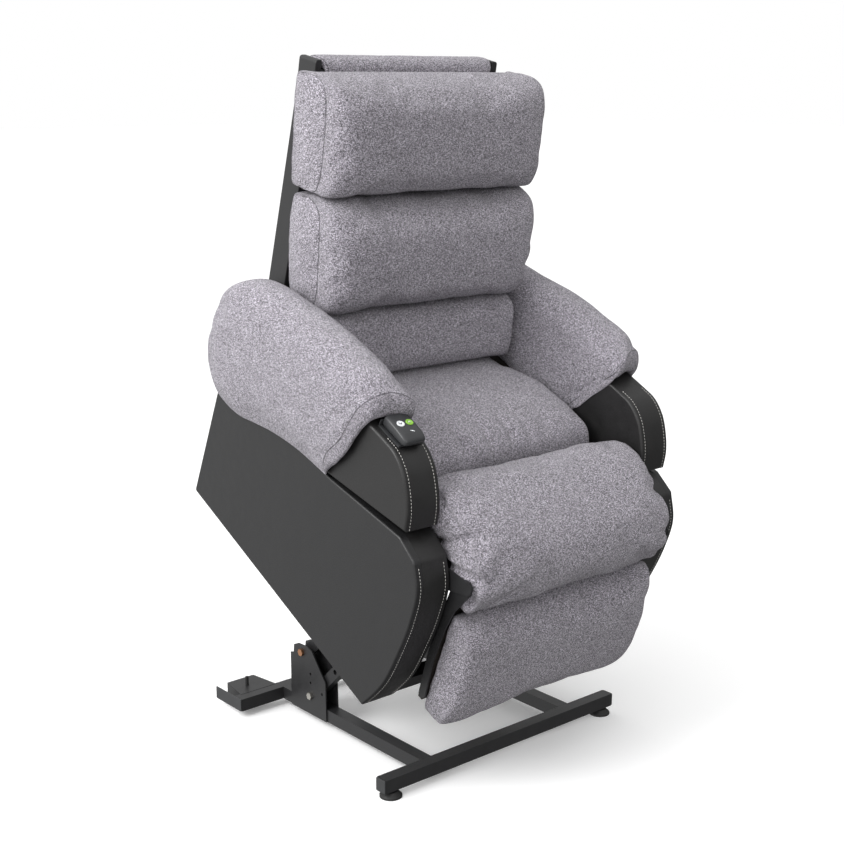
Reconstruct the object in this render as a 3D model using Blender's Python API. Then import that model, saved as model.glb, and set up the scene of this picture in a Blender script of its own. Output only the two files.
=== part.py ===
"""Lift recliner chair, standing in its raised position.

Units are metres, +Z is up and the sitter faces -Y. Left and right are the sitter's own, so right is -X.
The base stands still on the floor. Two pairs of links carry the chair, and one linear actuator pushes it.
The chair is drawn in its own frame, in which its floor edge is level and which is tipped forward by TILT.
In that frame y runs backward from the front foot of the side panels and z runs up from their lower edge.
"""

import math

import bmesh
import bpy
from mathutils import Vector
from mathutils.geometry import tessellate_polygon

# ---------------------------------------------------------------- driving dimensions
GAP = 0.0003  # between pieces that touch
SIDES = (("right", -1), ("left", 1))

# Base frame, in its own frame: y runs back from the front bar's front face.
BASE_FRONT = -0.2189  # where that face stands
TUBE = 0.030
TUBE_WALL = 0.002
BAR_LENGTH = 0.690
BAR_UNDERSIDE = 0.017
BAR_TOP = BAR_UNDERSIDE + TUBE
REAR_BAR_FRONT = 0.540
RAIL_CENTRE = 0.211
FOOT_RADIUS = 0.0245
FOOT_INSET = 0.025
FOOT_PLATE_TOP = 0.0475
FOOT_PLATE_THICKNESS = 0.003
REAR_FOOT = (0.286, 0.606)

# Lift linkage. A and B are on the base; C and D are on the chair, in its frame.
PIVOT_A = (0.423, 0.064)
PIVOT_B = (0.455, 0.163)
PIVOT_C = (0.1531, 0.060)
PIVOT_D = (0.1889, 0.110)
PIN_RADIUS = 0.005
LINK_EYE = 0.014
LOWER_LINK_LANE = (0.200, 0.222)
UPPER_LINK_LANE = (0.208, 0.214)
OPEN_PIN_CLEARANCE = 0.0045  # at D, where the linkage's loop is open
TORQUE_TUBE_REACH = 0.120
LIFT_PLATE_LANE = (0.2263, 0.2303)

# Lift actuator: G is on the rear bar, E on the chair's drive tube.
PIVOT_G = (0.512, 0.100)
PIVOT_E = (0.200, 0.140)
DRIVE_BAR = (0.224, 0.172)
ROD_END_CLEARANCE = 0.0085
ROD_RADIUS = 0.010
GUIDE_TUBE_RADIUS = 0.018
GUIDE_TUBE_LENGTH = 0.330

# The chair's frame
TILT = math.radians(27.6)
CHAIR_FRONT = 0.033
CHAIR_HEIGHT = 0.214
HALF_WIDTH = 0.380
ARM_INNER = 0.2935
SIDE_LENGTH = 0.706
PANEL_THICKNESS = 0.0185
BOARD = 0.012

FRONT_TUBE_CENTRE = (0.021, 0.018)

# Lanes beside the seat, from the arm inwards: side plate, arms and brackets, connecting link, cushions.
SIDE_PLATE_LANE = (0.2885, 0.2915)
BRACKET_LANE = (0.2835, 0.2875)
CONNECTING_LANE = (0.2775, 0.2825)
CUSHION_HALF = 0.2755

# Seat
DECK_TOP = 0.2925
SEAT_TOP = 0.460
SEAT_FRONT = 0.192
SEAT_BACK = 0.632

# Backrest: hinge H in the chair's frame, and the lean of its own frame, whose z runs up along it.
BACK_HINGE = (0.665, 0.370)
BACK_LEAN = math.radians(16.0)
BACK_CRANK = 0.0694
BACK_CRANK_ANGLE = math.radians(-72.5)
PILLOW_REAR = -0.003
SHELL_REAR = 0.069
SHELL_TOP = 0.651

# Footrest hinge F, and the seam that the upper leg pad turns on, in the chair's frame.
FOOT_HINGE = (-0.055, 0.360)
FOOT_CRANK = 0.030
FOOT_CRANK_ANGLE = math.radians(-46.0)
KNEE_SEAM = (0.185, 0.440)

# Arms
ARM_TOP = 0.548
PAD_TOP = 0.628
PAD_OUTER = 0.405

# Handset, on the right arm
HANDSET_X = -0.334
HANDSET_FRONT = 0.160
HANDSET_SIZE = (0.056, 0.078, 0.025)
HOLDER_TOP = 0.5525
BUTTON_RADIUS = 0.0085
BUTTON_SPACING = 0.022
BUTTON_BACK = 0.046


# ---------------------------------------------------------------- materials
def finish(name, colour, roughness, metallic=0.0):
    material = bpy.data.materials.new(name)
    material.use_nodes = True
    shader = material.node_tree.nodes["Principled BSDF"]
    shader.inputs["Base Color"].default_value = (*colour, 1.0)
    shader.inputs["Roughness"].default_value = roughness
    shader.inputs["Metallic"].default_value = metallic
    return material


def make_finishes():
    return {
        "vinyl": finish("black_vinyl", (0.045, 0.045, 0.048), 0.45),
        "fabric": finish("grey_fabric", (0.26, 0.26, 0.29), 0.95),
        "steel": finish("black_steel", (0.02, 0.02, 0.021), 0.42, 0.3),
        "zinc": finish("zinc_bolt", (0.62, 0.60, 0.50), 0.35, 1.0),
        "rubber": finish("black_rubber", (0.03, 0.03, 0.03), 0.8),
        "wood": finish("plywood", (0.55, 0.40, 0.25), 0.7),
        "motor": finish("motor_plastic", (0.05, 0.05, 0.055), 0.5),
        "rod": finish("bright_rod", (0.75, 0.75, 0.76), 0.2, 1.0),
        "handset": finish("handset_plastic", (0.06, 0.062, 0.066), 0.5),
        "green": finish("green_button", (0.42, 0.62, 0.12), 0.4),
        "white": finish("white_button", (0.85, 0.87, 0.88), 0.4),
    }


# ---------------------------------------------------------------- geometry helpers
def turned(angle, y, z):
    """The point (y, z) turned about X."""
    return (
        y * math.cos(angle) - z * math.sin(angle),
        y * math.sin(angle) + z * math.cos(angle),
    )


def circle(centre, radius, sides=20):
    steps = [2 * math.pi * i / sides for i in range(sides)]
    return [(centre[0] + radius * math.cos(a), centre[1] + radius * math.sin(a)) for a in steps]


def arc(centre, radius, start, end, steps):
    """Points on an arc, angles in degrees."""
    angles = [math.radians(start + (end - start) * i / steps) for i in range(steps + 1)]
    return [(centre[0] + radius * math.cos(a), centre[1] + radius * math.sin(a)) for a in angles]


def rectangle(low, high):
    return [low, (high[0], low[1]), high, (low[0], high[1])]


def slot_outline(start, end, radius, steps=8):
    """A bar with round ends from start to end."""
    angle = math.degrees(math.atan2(end[1] - start[1], end[0] - start[0]))
    far = arc(end, radius, angle - 90, angle + 90, steps)
    return far + arc(start, radius, angle + 90, angle + 270, steps)


def smooth_curve(points, per_span=4):
    """An open Catmull-Rom curve through the points."""
    ends = [points[0], *points, points[-1]]
    curve = []
    for a, b, c, d in zip(ends, ends[1:], ends[2:], ends[3:]):
        for i in range(per_span):
            t = i / per_span
            curve.append(
                tuple(
                    0.5 * (2 * q + (r - p) * t + (2 * p - 5 * q + 4 * r - s) * t**2
                           + (3 * q - p - 3 * r + s) * t**3)
                    for p, q, r, s in zip(a, b, c, d)
                )
            )
    return [*curve, points[-1]]


AXIS_ORDER = {"X": (2, 0, 1), "Y": (0, 2, 1), "Z": (0, 1, 2)}


def prism(loops, low, high, axis="X"):
    """A mesh from an outline and its holes, extruded along an axis. An X prism's outline is in (y, z)."""
    if isinstance(loops[0][0], (int, float)):
        loops = [loops]
    low, high = sorted((low, high))
    flat = [p for loop in loops for p in loop]
    order = AXIS_ORDER[axis]
    points = []
    for level in (low, high):
        for p in flat:
            local = (p[0], p[1], level)
            points.append(tuple(local[i] for i in order))
    count = len(flat)
    caps = tessellate_polygon([[Vector((*p, 0.0)) for p in loop] for loop in loops])
    faces = [tuple(t) for t in caps] + [tuple(i + count for i in reversed(t)) for t in caps]
    start = 0
    for loop in loops:
        for i in range(len(loop)):
            a, b = start + i, start + (i + 1) % len(loop)
            faces.append((a, b, b + count, a + count))
        start += len(loop)
    mesh = bpy.data.meshes.new("prism")
    mesh.from_pydata(points, [], faces)
    work = bmesh.new()
    work.from_mesh(mesh)
    bmesh.ops.recalc_face_normals(work, faces=work.faces)
    bmesh.ops.dissolve_limit(work, angle_limit=0.001, verts=work.verts, edges=work.edges)
    if len(loops) > 1:
        bmesh.ops.triangulate(work, faces=[f for f in work.faces if len(f.verts) > 4])
    work.to_mesh(mesh)
    work.free()
    return mesh


def box(low, high):
    return prism(rectangle(low[1:], high[1:]), low[0], high[0])


def turned_shape(profile, sides, centre):
    """A solid of revolution about a vertical axis.

    The profile runs from the bottom to the top as (radius, z).
    """
    work = bmesh.new()
    rings = []
    for radius, z in profile:
        round_ring = circle(centre, radius, sides)
        rings.append([work.verts.new((x, y, z)) for x, y in round_ring])
    for below, above in zip(rings, rings[1:]):
        for i in range(sides):
            j = (i + 1) % sides
            work.faces.new((below[i], below[j], above[j], above[i]))
    work.faces.new(reversed(rings[0]))
    work.faces.new(rings[-1])
    bmesh.ops.recalc_face_normals(work, faces=work.faces)
    mesh = bpy.data.meshes.new("turned")
    work.to_mesh(mesh)
    work.free()
    return mesh


# ---------------------------------------------------------------- scene helpers
def clear_scene():
    for obj in list(bpy.data.objects):
        bpy.data.objects.remove(obj)


def frame(name, parent=None, y=0.0, z=0.0, angle=0.0):
    """An empty that its parts are drawn in, with its origin on the joint's axis."""
    empty = bpy.data.objects.new(name, None)
    bpy.context.scene.collection.objects.link(empty)
    empty.parent = parent
    empty.location = (0, y, z)
    empty.rotation_euler = (angle, 0, 0)
    return empty


def part(name, mesh, material, parent, bevel=0.0, segments=1):
    obj = bpy.data.objects.new(name, mesh)
    bpy.context.scene.collection.objects.link(obj)
    obj.parent = parent
    mesh.name = name
    mesh.materials.append(material)
    if bevel:
        modifier = obj.modifiers.new("Bevel", "BEVEL")
        modifier.width = bevel
        modifier.segments = segments
        modifier.limit_method = "ANGLE"
        modifier.angle_limit = math.radians(35)
    mesh.shade_smooth()
    mesh.set_sharp_from_angle(angle=math.radians(35))
    return obj


def combine(target, operation, mesh):
    """Adds mesh to the target, or cuts it away, with a Boolean."""
    helper = bpy.data.objects.new(target.name + "_cutter", mesh)
    bpy.context.scene.collection.objects.link(helper)
    helper.parent = target.parent
    helper.hide_render = True
    helper.display_type = "WIRE"
    modifier = target.modifiers.new(operation.title(), "BOOLEAN")
    modifier.operation = operation
    modifier.object = helper


# ---------------------------------------------------------------- base
def square_tube(start, end, centre, axis):
    """A square tube along X or Y. Its centre is the other horizontal place and the height."""
    half = TUBE / 2
    inner = half - TUBE_WALL
    loops = [
        rectangle((centre[0] - h, centre[1] - h), (centre[0] + h, centre[1] + h))
        for h in (half, inner)
    ]
    return prism(loops, start, end, axis)


def build_base(base, use):
    half = TUBE / 2
    height = BAR_UNDERSIDE + half
    end = BAR_LENGTH / 2
    part("base_front_bar", square_tube(-end, end, (half, height), "X"), use["steel"], base)
    rear_bar = square_tube(-end, end, (REAR_BAR_FRONT + half, height), "X")
    rear = part("base_rear_bar", rear_bar, use["steel"], base)
    for side, sign in SIDES:
        x = sign * RAIL_CENTRE
        rail = square_tube(TUBE + GAP, REAR_BAR_FRONT - GAP, (x, height), "Y")
        part("base_rail_" + side, rail, use["steel"], base)
        build_lift_bracket(base, use, side, sign)
        add_foot_plate(rear, sign)
        build_feet(base, use, side, sign)
        build_pivot_bolts(base, use, side, sign)
    build_actuator_clevis(base, use)


def build_lift_bracket(base, use, side, sign):
    """Two plates that straddle the rail, joined by a web behind the links."""
    outline = [
        (0.501, BAR_UNDERSIDE),
        (0.501, 0.150),
        (0.489, 0.153),
        (0.487, 0.173),
        (0.470, 0.181),
        (0.440, 0.182),
        (0.417, 0.176),
        (0.3655, 0.113),
        (0.3635, BAR_UNDERSIDE),
    ]
    holes = [circle(p, PIN_RADIUS + GAP) for p in (PIVOT_A, PIVOT_B)]
    spare_holes = [circle(p, 0.0035, 12) for p in ((0.423, 0.096), (0.423, 0.118), (0.379, 0.081))]
    half = TUBE / 2 + GAP
    plate = 0.003
    outer = prism(
        [outline, *holes, *spare_holes], sign * (RAIL_CENTRE + half), sign * (RAIL_CENTRE + half + plate)
    )
    bracket = part("lift_bracket_" + side, outer, use["steel"], base)
    inner = prism([outline, *holes], sign * (RAIL_CENTRE - half), sign * (RAIL_CENTRE - half - plate))
    web = box(
        (sign * RAIL_CENTRE - half - plate / 2, 0.497, BAR_TOP + 0.001),
        (sign * RAIL_CENTRE + half + plate / 2, 0.500, 0.140),
    )
    combine(bracket, "UNION", inner)
    combine(bracket, "UNION", web)


def build_feet(base, use, side, sign):
    """A rubber foot under the front bar's end, and one on a threaded stud through the rear foot plate."""
    front = BAR_LENGTH / 2 - FOOT_INSET
    cone = [(FOOT_RADIUS, 0.0), (FOOT_RADIUS, 0.004), (0.0155, 0.0125), (0.0085, 0.0130)]
    post = [*cone, (0.0085, BAR_UNDERSIDE - GAP)]
    part("foot_front_" + side, turned_shape(post, 24, (sign * front, TUBE / 2)), use["rubber"], base)
    shank = 0.004
    plate_underside = FOOT_PLATE_TOP - FOOT_PLATE_THICKNESS - GAP
    stud = [*cone, (0.0085, plate_underside), (shank, plate_underside), (shank, FOOT_PLATE_TOP + 0.021)]
    place = (sign * REAR_FOOT[0], REAR_FOOT[1])
    part("foot_rear_" + side, turned_shape(stud, 24, place), use["rubber"], base)


def add_foot_plate(rear_bar, sign):
    """A plate welded behind the rear bar. Its outer edge is turned down."""
    near = REAR_BAR_FRONT + TUBE
    far = 0.647
    under = FOOT_PLATE_TOP - FOOT_PLATE_THICKNESS
    corners = ((0.229, near - 0.004), (0.330, near - 0.004), (0.316, far), (0.241, far))
    outline = [(sign * x, y) for x, y in corners]
    hole = circle((sign * REAR_FOOT[0], REAR_FOOT[1]), 0.0045, 16)
    combine(rear_bar, "UNION", prism([outline, hole], under, FOOT_PLATE_TOP, "Z"))
    spike = ((0.330, near - 0.001), (0.316, far), (0.313, far), (0.327, near - 0.001))
    lip = [(sign * x, y) for x, y in spike]
    combine(rear_bar, "UNION", prism(lip, BAR_UNDERSIDE + 0.006, FOOT_PLATE_TOP - 0.001, "Z"))


def build_actuator_clevis(base, use):
    """Two ears on the rear bar that hold the actuator's fixed end."""
    ear = [
        (REAR_BAR_FRONT + 0.002, BAR_TOP + GAP),
        (REAR_BAR_FRONT + TUBE - 0.002, BAR_TOP + GAP),
        (REAR_BAR_FRONT + 0.012, 0.095),
        *arc(PIVOT_G, 0.015, 40, 225, 6),
    ]
    clevis = part(
        "actuator_base_clevis",
        prism(ear, -0.022, -0.018),
        use["steel"],
        base,
    )
    combine(clevis, "UNION", prism(ear, 0.018, 0.022))
    combine(clevis, "UNION", prism(circle(PIVOT_G, PIN_RADIUS), -0.025, 0.025))
    foot = box(
        (-0.019, REAR_BAR_FRONT + 0.003, BAR_TOP + GAP),
        (0.019, REAR_BAR_FRONT + TUBE - 0.003, BAR_TOP + 0.004),
    )
    combine(clevis, "UNION", foot)


def build_pivot_bolts(base, use, side, sign):
    """Bolts through the bracket at A and B, on which the links turn."""
    for level, pivot in (("lower", PIVOT_A), ("upper", PIVOT_B)):
        head = prism(circle(pivot, 0.009, 6), sign * 0.2297, sign * 0.2357)
        bolt = part("pivot_bolt_" + level + "_" + side, head, use["zinc"], base)
        combine(bolt, "UNION", prism(circle(pivot, PIN_RADIUS), sign * 0.1880, sign * 0.2300))


# ---------------------------------------------------------------- lift linkage
def link_angle(start, end):
    """The turn that brings a link's own -Y axis onto the line from start to end."""
    return math.atan2(start[1] - end[1], start[0] - end[0])


def build_links(base, chair_point, use):
    """The lower links and their torque tube are one weldment. The flat upper links lie in its slots."""
    c = chair_point(*PIVOT_C)
    d = chair_point(*PIVOT_D)
    lower = frame("lower_link_axis", base, *PIVOT_A, link_angle(PIVOT_A, c))
    upper = frame("upper_link_axis", base, *PIVOT_B, link_angle(PIVOT_B, d))
    lower_length = math.dist(PIVOT_A, c)
    upper_length = math.dist(PIVOT_B, d)
    fixed_hole = PIN_RADIUS + GAP
    open_hole = PIN_RADIUS + OPEN_PIN_CLEARANCE
    outline = slot_outline((0, 0), (-lower_length, 0), LINK_EYE - 0.001)
    holes = [circle((p, 0), fixed_hole) for p in (0, -lower_length)]
    drain = circle((-TORQUE_TUBE_REACH, 0), 0.006, 12)
    right, left = [prism([outline, *holes, drain], *[sign * x for x in LOWER_LINK_LANE]) for sign in (-1, 1)]
    weldment = part("lower_lift_arm", right, use["steel"], lower)
    reach = LOWER_LINK_LANE[0] + 0.002
    rings = [circle((-TORQUE_TUBE_REACH, 0), r) for r in (0.0125, 0.0105)]
    combine(weldment, "UNION", prism(rings, -reach, reach))
    combine(weldment, "UNION", left)
    outline = slot_outline((0, 0), (-upper_length, 0), LINK_EYE)
    holes = [circle((0, 0), fixed_hole), circle((-upper_length, 0), open_hole)]
    for side, sign in SIDES:
        lane = [sign * x for x in UPPER_LINK_LANE]
        part("upper_link_" + side, prism([outline, *holes], *lane), use["steel"], upper)


def build_actuator(base, chair_point, use):
    """A motor and gearbox with a guide tube, and a rod that slides in it."""
    e = chair_point(*PIVOT_E)
    angle = link_angle(PIVOT_G, e)
    length = math.dist(PIVOT_G, e)
    body = frame("actuator_axis", base, *PIVOT_G, angle)
    gearbox = [
        *arc((0, 0), 0.014, -60, 60, 4),
        (-0.015, 0.030),
        (-0.075, 0.030),
        (-0.088, 0.020),
        (-0.088, -0.020),
        (-0.075, -0.028),
        (-0.015, -0.028),
    ]
    gear_case = prism([gearbox, circle((0, 0), PIN_RADIUS + GAP)], -0.0165, 0.0165)
    housing = part("motor_housing", gear_case, use["motor"], body)
    shoulder = prism(rectangle((-0.086, -0.024), (-0.022, 0.026)), -0.030, 0.080)
    combine(housing, "UNION", shoulder)
    combine(housing, "UNION", prism(circle((0.055, 0.001), 0.023, 24), -0.190, -0.070, "Y"))
    guide_start = -0.0883
    ring = [circle((0, 0), GUIDE_TUBE_RADIUS, 24), circle((0, 0), ROD_RADIUS + GAP, 20)]
    part("actuator_tube", prism(ring, guide_start - GUIDE_TUBE_LENGTH, guide_start, "Y"), use["motor"], body)
    rod = frame("actuator_rod_axis", body)
    rod_bar = prism(circle((0, 0), ROD_RADIUS), -length + 0.0155, -0.300, "Y")
    shaft = part("actuator_rod", rod_bar, use["rod"], rod)
    eye_bore = circle((-length, 0), PIN_RADIUS + ROD_END_CLEARANCE)
    eye = prism([circle((-length, 0), 0.018), eye_bore], -0.009, 0.009)
    combine(shaft, "UNION", eye)


# ---------------------------------------------------------------- chair frame
def build_chassis(chair, use):
    for side, sign in SIDES:
        build_side_plate(chair, use, side, sign)
    build_lift_frame(chair, use)
    reach = SIDE_PLATE_LANE[0] - GAP
    for name, y in (("seat_front_tube", 0.0575), ("seat_rear_tube", 0.6125)):
        loops = [rectangle((y - h, 0.2675 - h), (y + h, 0.2675 + h)) for h in (0.0125, 0.0105)]
        part(name, prism(loops, -reach, reach), use["steel"], chair)
    low = FRONT_TUBE_CENTRE[1]
    back = FRONT_TUBE_CENTRE[0]
    loops = [rectangle((back - h, low - h), (back + h, low + h)) for h in (TUBE / 2, TUBE / 2 - TUBE_WALL)]
    reach = ARM_INNER - GAP
    part("lower_front_tube", prism(loops, -reach, reach), use["steel"], chair)
    deck = box((-CUSHION_HALF, 0.046, DECK_TOP - BOARD), (CUSHION_HALF, 0.622, DECK_TOP))
    part("seat_deck", deck, use["wood"], chair)


def build_side_plate(chair, use, side, sign):
    """The long mechanism plate in each arm, with pins for the backrest and the footrest."""
    outline = [
        *arc(FOOT_HINGE, 0.016, 100, 260, 6),
        (0.020, 0.300),
        (0.040, 0.2545),
        (0.630, 0.2545),
        (0.668, 0.300),
        (0.668, 0.345),
        *arc(BACK_HINGE, 0.018, -40, 110, 6),
        (0.600, 0.350),
        (0.050, 0.350),
    ]
    lane = [sign * x for x in SIDE_PLATE_LANE]
    plate = part("side_plate_" + side, prism(outline, *lane), use["steel"], chair)
    for hinge in (BACK_HINGE, FOOT_HINGE):
        combine(plate, "UNION", prism(circle(hinge, PIN_RADIUS), sign * BRACKET_LANE[0], sign * 0.290))


def build_lift_frame(chair, use):
    """Hangs under the seat: plates that carry the link pins C and D, and a bar that the rod pushes on."""
    outline = [
        (0.035, 0.2542),
        (0.035, 0.225),
        (0.110, 0.075),
        *arc(PIVOT_C, 0.018, 200, 310, 5),
        (0.215, 0.095),
        (0.300, 0.230),
        (0.300, 0.2542),
    ]
    reach = LIFT_PLATE_LANE[0] + 0.002
    frame_bar = part("lift_frame", prism(circle(DRIVE_BAR, 0.0125), -reach, reach), use["steel"], chair)
    inner = LOWER_LINK_LANE[0] - 0.004
    reach = SIDE_PLATE_LANE[0] - GAP
    combine(frame_bar, "UNION", prism(rectangle((0.2725, 0.2450), (0.2975, 0.2795)), -reach, reach))
    for _, sign in SIDES:
        combine(frame_bar, "UNION", prism(outline, *[sign * x for x in LIFT_PLATE_LANE]))
        for pivot in (PIVOT_C, PIVOT_D):
            combine(frame_bar, "UNION", prism(circle(pivot, PIN_RADIUS), sign * inner, sign * 0.228))
    ear = [(0.233, 0.170), (0.217, 0.180), *arc(PIVOT_E, 0.011, 140, 320, 6)]
    for sign in (-1, 1):
        combine(frame_bar, "UNION", prism(ear, sign * 0.012, sign * 0.016))
    combine(frame_bar, "UNION", prism(circle(PIVOT_E, PIN_RADIUS), -0.014, 0.014))


# ---------------------------------------------------------------- arms and sides
PANEL_FRONT = [
    (0.004, 0.0),
    (-0.008, 0.030),
    (-0.026, 0.090),
    (-0.033, 0.180),
    (-0.031, 0.270),
    (-0.017, 0.340),
    (0.020, 0.390),
    (0.075, 0.405),
]


def build_arms(chair, use):
    front_edge = smooth_curve(PANEL_FRONT, 2)
    rear = [(0.300, 0.366), (0.460, 0.352), (0.730, 0.352), (SIDE_LENGTH, 0.0)]
    post_rear = [
        (0.300, 0.3655), (0.342, 0.3625), (0.342, 0.350), (0.300, 0.353), (0.055, 0.388), (0.055, 0.0)
    ]
    for side, sign in SIDES:
        outer = HALF_WIDTH - PANEL_THICKNESS
        panel = prism([*front_edge, *rear], sign * outer, sign * HALF_WIDTH)
        part("outer_side_" + side, panel, use["vinyl"], chair)
        post = prism([*front_edge, *post_rear], sign * ARM_INNER, sign * (outer - GAP))
        post = part("front_post_" + side, post, use["vinyl"], chair)
        inside = ARM_INNER - 0.010
        corner = [(sign * inside, -0.010), (sign * inside, 0.028), (sign * (ARM_INNER + 0.028), -0.010)]
        combine(post, "DIFFERENCE", prism(corner, -0.100, 0.100, "Y"))
        inner_outline = [
            (0.0555, 0.020), (0.690, 0.020), (0.712, 0.350), (0.712, 0.5245),
            (0.345, 0.5245), (0.345, 0.3485), (0.300, 0.3525), (0.0555, 0.387),
        ]
        inner = prism(inner_outline, sign * ARM_INNER, sign * (ARM_INNER + BOARD))
        arm = part("arm_frame_" + side, inner, use["wood"], chair)
        combine(arm, "UNION", prism(arm_rail_section(sign), 0.345, 0.735, "Y"))
        build_arm_covers(chair, use, side, sign)


def arm_rail_section(sign):
    """The arm's top rail: a board with an outer rail under it, as (x, z)."""
    cheek = HALF_WIDTH - 0.002
    section = [
        (ARM_INNER, 0.5240),
        (cheek - BOARD, 0.5240),
        (cheek - BOARD, 0.368),
        (cheek, 0.368),
        (cheek, ARM_TOP - 0.0005),
        (ARM_INNER, ARM_TOP - 0.0005),
    ]
    return [(sign * x, z) for x, z in section]


def build_arm_covers(chair, use, side, sign):
    """The black block at the arm's front end, and the padded cover that saddles the arm."""
    block = [
        *smooth_curve(
            [
                (0.066, 0.424), (0.077, 0.460), (0.100, 0.497),
                (0.130, 0.528), (0.168, 0.546), (0.205, ARM_TOP),
            ],
            2,
        ),
        (0.344, ARM_TOP),
        (0.344, 0.366),
        (0.316, 0.369),
    ]
    part("arm_front_" + side, prism(block, sign * ARM_INNER, sign * HALF_WIDTH), use["vinyl"], chair)
    build_arm_pad(chair, use, side, sign)


def build_arm_pad(chair, use, side, sign):
    """A thick cover over the arm: a saddle whose outer flap laps over the side panel."""
    lap = HALF_WIDTH + 0.0005
    saddle = [
        (lap, 0.296),
        (PAD_OUTER - 0.012, 0.296),
        (PAD_OUTER - 0.002, 0.340),
        (PAD_OUTER, 0.500),
        (PAD_OUTER - 0.010, 0.580),
        (0.367, PAD_TOP),
        (0.310, PAD_TOP),
        (0.2895, 0.590),
        (0.2895, 0.392),
        (0.2932, 0.392),
        (0.2932, ARM_TOP + GAP),
        (lap, ARM_TOP + GAP),
    ]
    loop = [(sign * x, z) for x, z in saddle]
    pad = part("arm_pad_" + side, prism(loop, 0.242, 0.818, "Y"), use["fabric"], chair)
    below = 0.280
    cutters = (
        [
            (0.200, below), (0.345, below), (0.345, 0.366), (0.330, 0.405),
            (0.255, 0.560), (0.243, 0.640), (0.200, 0.640),
        ],
        [(0.340, below), (0.620, below), (0.575, 0.309), (0.460, 0.350), (0.340, 0.367)],
        [(0.720, below), (0.850, below), (0.850, 0.460), (0.818, 0.430), (0.803, 0.370), (0.770, 0.315)],
        [
            (0.850, 0.650), (0.420, 0.650), (0.580, 0.600), (0.700, 0.580),
            (0.765, 0.548), (0.818, 0.470), (0.850, 0.430),
        ],
    )
    for cutter in cutters:
        combine(pad, "DIFFERENCE", prism(cutter, sign * 0.270, sign * 0.430))
    end = [(0.7356, 0.385), (0.790, 0.385), (0.806, 0.430), (0.806, 0.470), (0.765, 0.530), (0.7356, 0.553)]
    combine(pad, "UNION", prism(end, sign * 0.2925, sign * 0.392))


# ---------------------------------------------------------------- seat and covers
def build_seat(chair, use):
    outline = [
        (SEAT_FRONT, DECK_TOP + 0.0005),
        (SEAT_BACK, DECK_TOP + 0.0005),
        (SEAT_BACK, 0.384),
        (0.580, 0.393),
        (0.520, 0.405),
        (0.460, 0.426),
        (0.360, 0.452),
        (0.290, SEAT_TOP),
        (0.240, SEAT_TOP),
        (0.210, 0.446),
        (SEAT_FRONT, 0.425),
    ]
    part("seat_cushion", prism(outline, -0.272, 0.272), use["fabric"], chair)
    valance = box((-0.2880, 0.693, 0.020), (0.2880, 0.700, 0.290))
    part("rear_valance", valance, use["vinyl"], chair)
    control = box((-0.170, 0.420, DECK_TOP - BOARD - 0.050), (-0.060, 0.560, DECK_TOP - BOARD - 0.001))
    part("control_box", control, use["motor"], chair, bevel=0.004)


def build_handset(chair, use):
    """A handset that lies in a shallow cradle on the right arm and pulls out forwards."""
    width, length, thickness = HANDSET_SIZE
    half = width / 2
    floor = ARM_TOP + GAP
    tray = box((HANDSET_X - half - 0.003, 0.172, floor), (HANDSET_X + half + 0.003, 0.2410, HOLDER_TOP))
    holder = part("handset_holder", tray, use["handset"], chair)
    stop = box(
        (HANDSET_X - half - 0.003, 0.2385, floor), (HANDSET_X + half + 0.003, 0.2412, HOLDER_TOP + 0.012)
    )
    combine(holder, "UNION", stop)
    place = frame("handset_axis", chair, HANDSET_FRONT, HOLDER_TOP + GAP)
    side_view = [
        (0.0, 0.006), (0.006, 0.0), (length, 0.0),
        (length, thickness), (0.012, thickness - 0.004), (0.0, 0.017),
    ]
    case = prism(side_view, HANDSET_X - half, HANDSET_X + half)
    handset = part("handset_case", case, use["handset"], place)
    top = thickness - 0.0011
    for name, offset, colour in (("button_lower", -1, "white"), ("button_raise", 1, "green")):
        x = HANDSET_X + offset * BUTTON_SPACING / 2
        well = circle((x, BUTTON_BACK), BUTTON_RADIUS + GAP, 24)
        seat = prism(well, thickness - 0.0065, thickness + 0.010, "Z")
        combine(handset, "DIFFERENCE", seat)
        cap = prism(circle((x, BUTTON_BACK), BUTTON_RADIUS, 24), thickness - 0.0045, top + 0.0025, "Z")
        part(name, cap, use[colour], frame(name + "_axis", place))


# ---------------------------------------------------------------- backrest
def build_backrest(chair, use):
    """Drawn in the hinge's frame: y is square to the back, z runs up along it."""
    back = frame("backrest_axis", chair, *BACK_HINGE, -BACK_LEAN)
    rows = (
        ("lumbar_pillow", 0.163, 0.405, -0.178, 0.2875),
        ("head_pillow", 0.408, 0.655, -0.152, 0.2900),
    )
    for name, low, high, front, half in rows:
        outline = [
            (PILLOW_REAR, low + 0.004), (PILLOW_REAR, high - 0.004), (-0.060, high),
            (front + 0.035, high - 0.010), (front, high - 0.060),
        ]
        outline += [(front, low + 0.045), (front + 0.035, low + 0.006), (-0.060, low)]
        part(name, prism(outline, -half, half), use["fabric"], back)
    lower = [
        (PILLOW_REAR, 0.030),
        (-0.080, 0.010),
        (-0.145, 0.008),
        (-0.163, 0.026),
        (-0.163, 0.110),
        (-0.145, 0.158),
        (PILLOW_REAR, 0.160),
    ]
    part("lower_back_pillow", prism(lower, -0.272, 0.272), use["fabric"], back)
    part("back_board", box((-0.245, PILLOW_REAR + 0.001, 0.012), (0.245, 0.0095, 0.620)), use["wood"], back)
    build_shell(back, use)
    strip = [
        (0.012, SHELL_TOP + GAP), (0.066, SHELL_TOP + GAP), (0.060, SHELL_TOP + 0.016),
        (0.040, SHELL_TOP + 0.022), (0.018, SHELL_TOP + 0.018),
    ]
    part("back_top_strip", prism(strip, -0.238, 0.238), use["fabric"], back)
    for side, sign in SIDES:
        build_back_bracket(back, use, side, sign)
    return back


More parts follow.
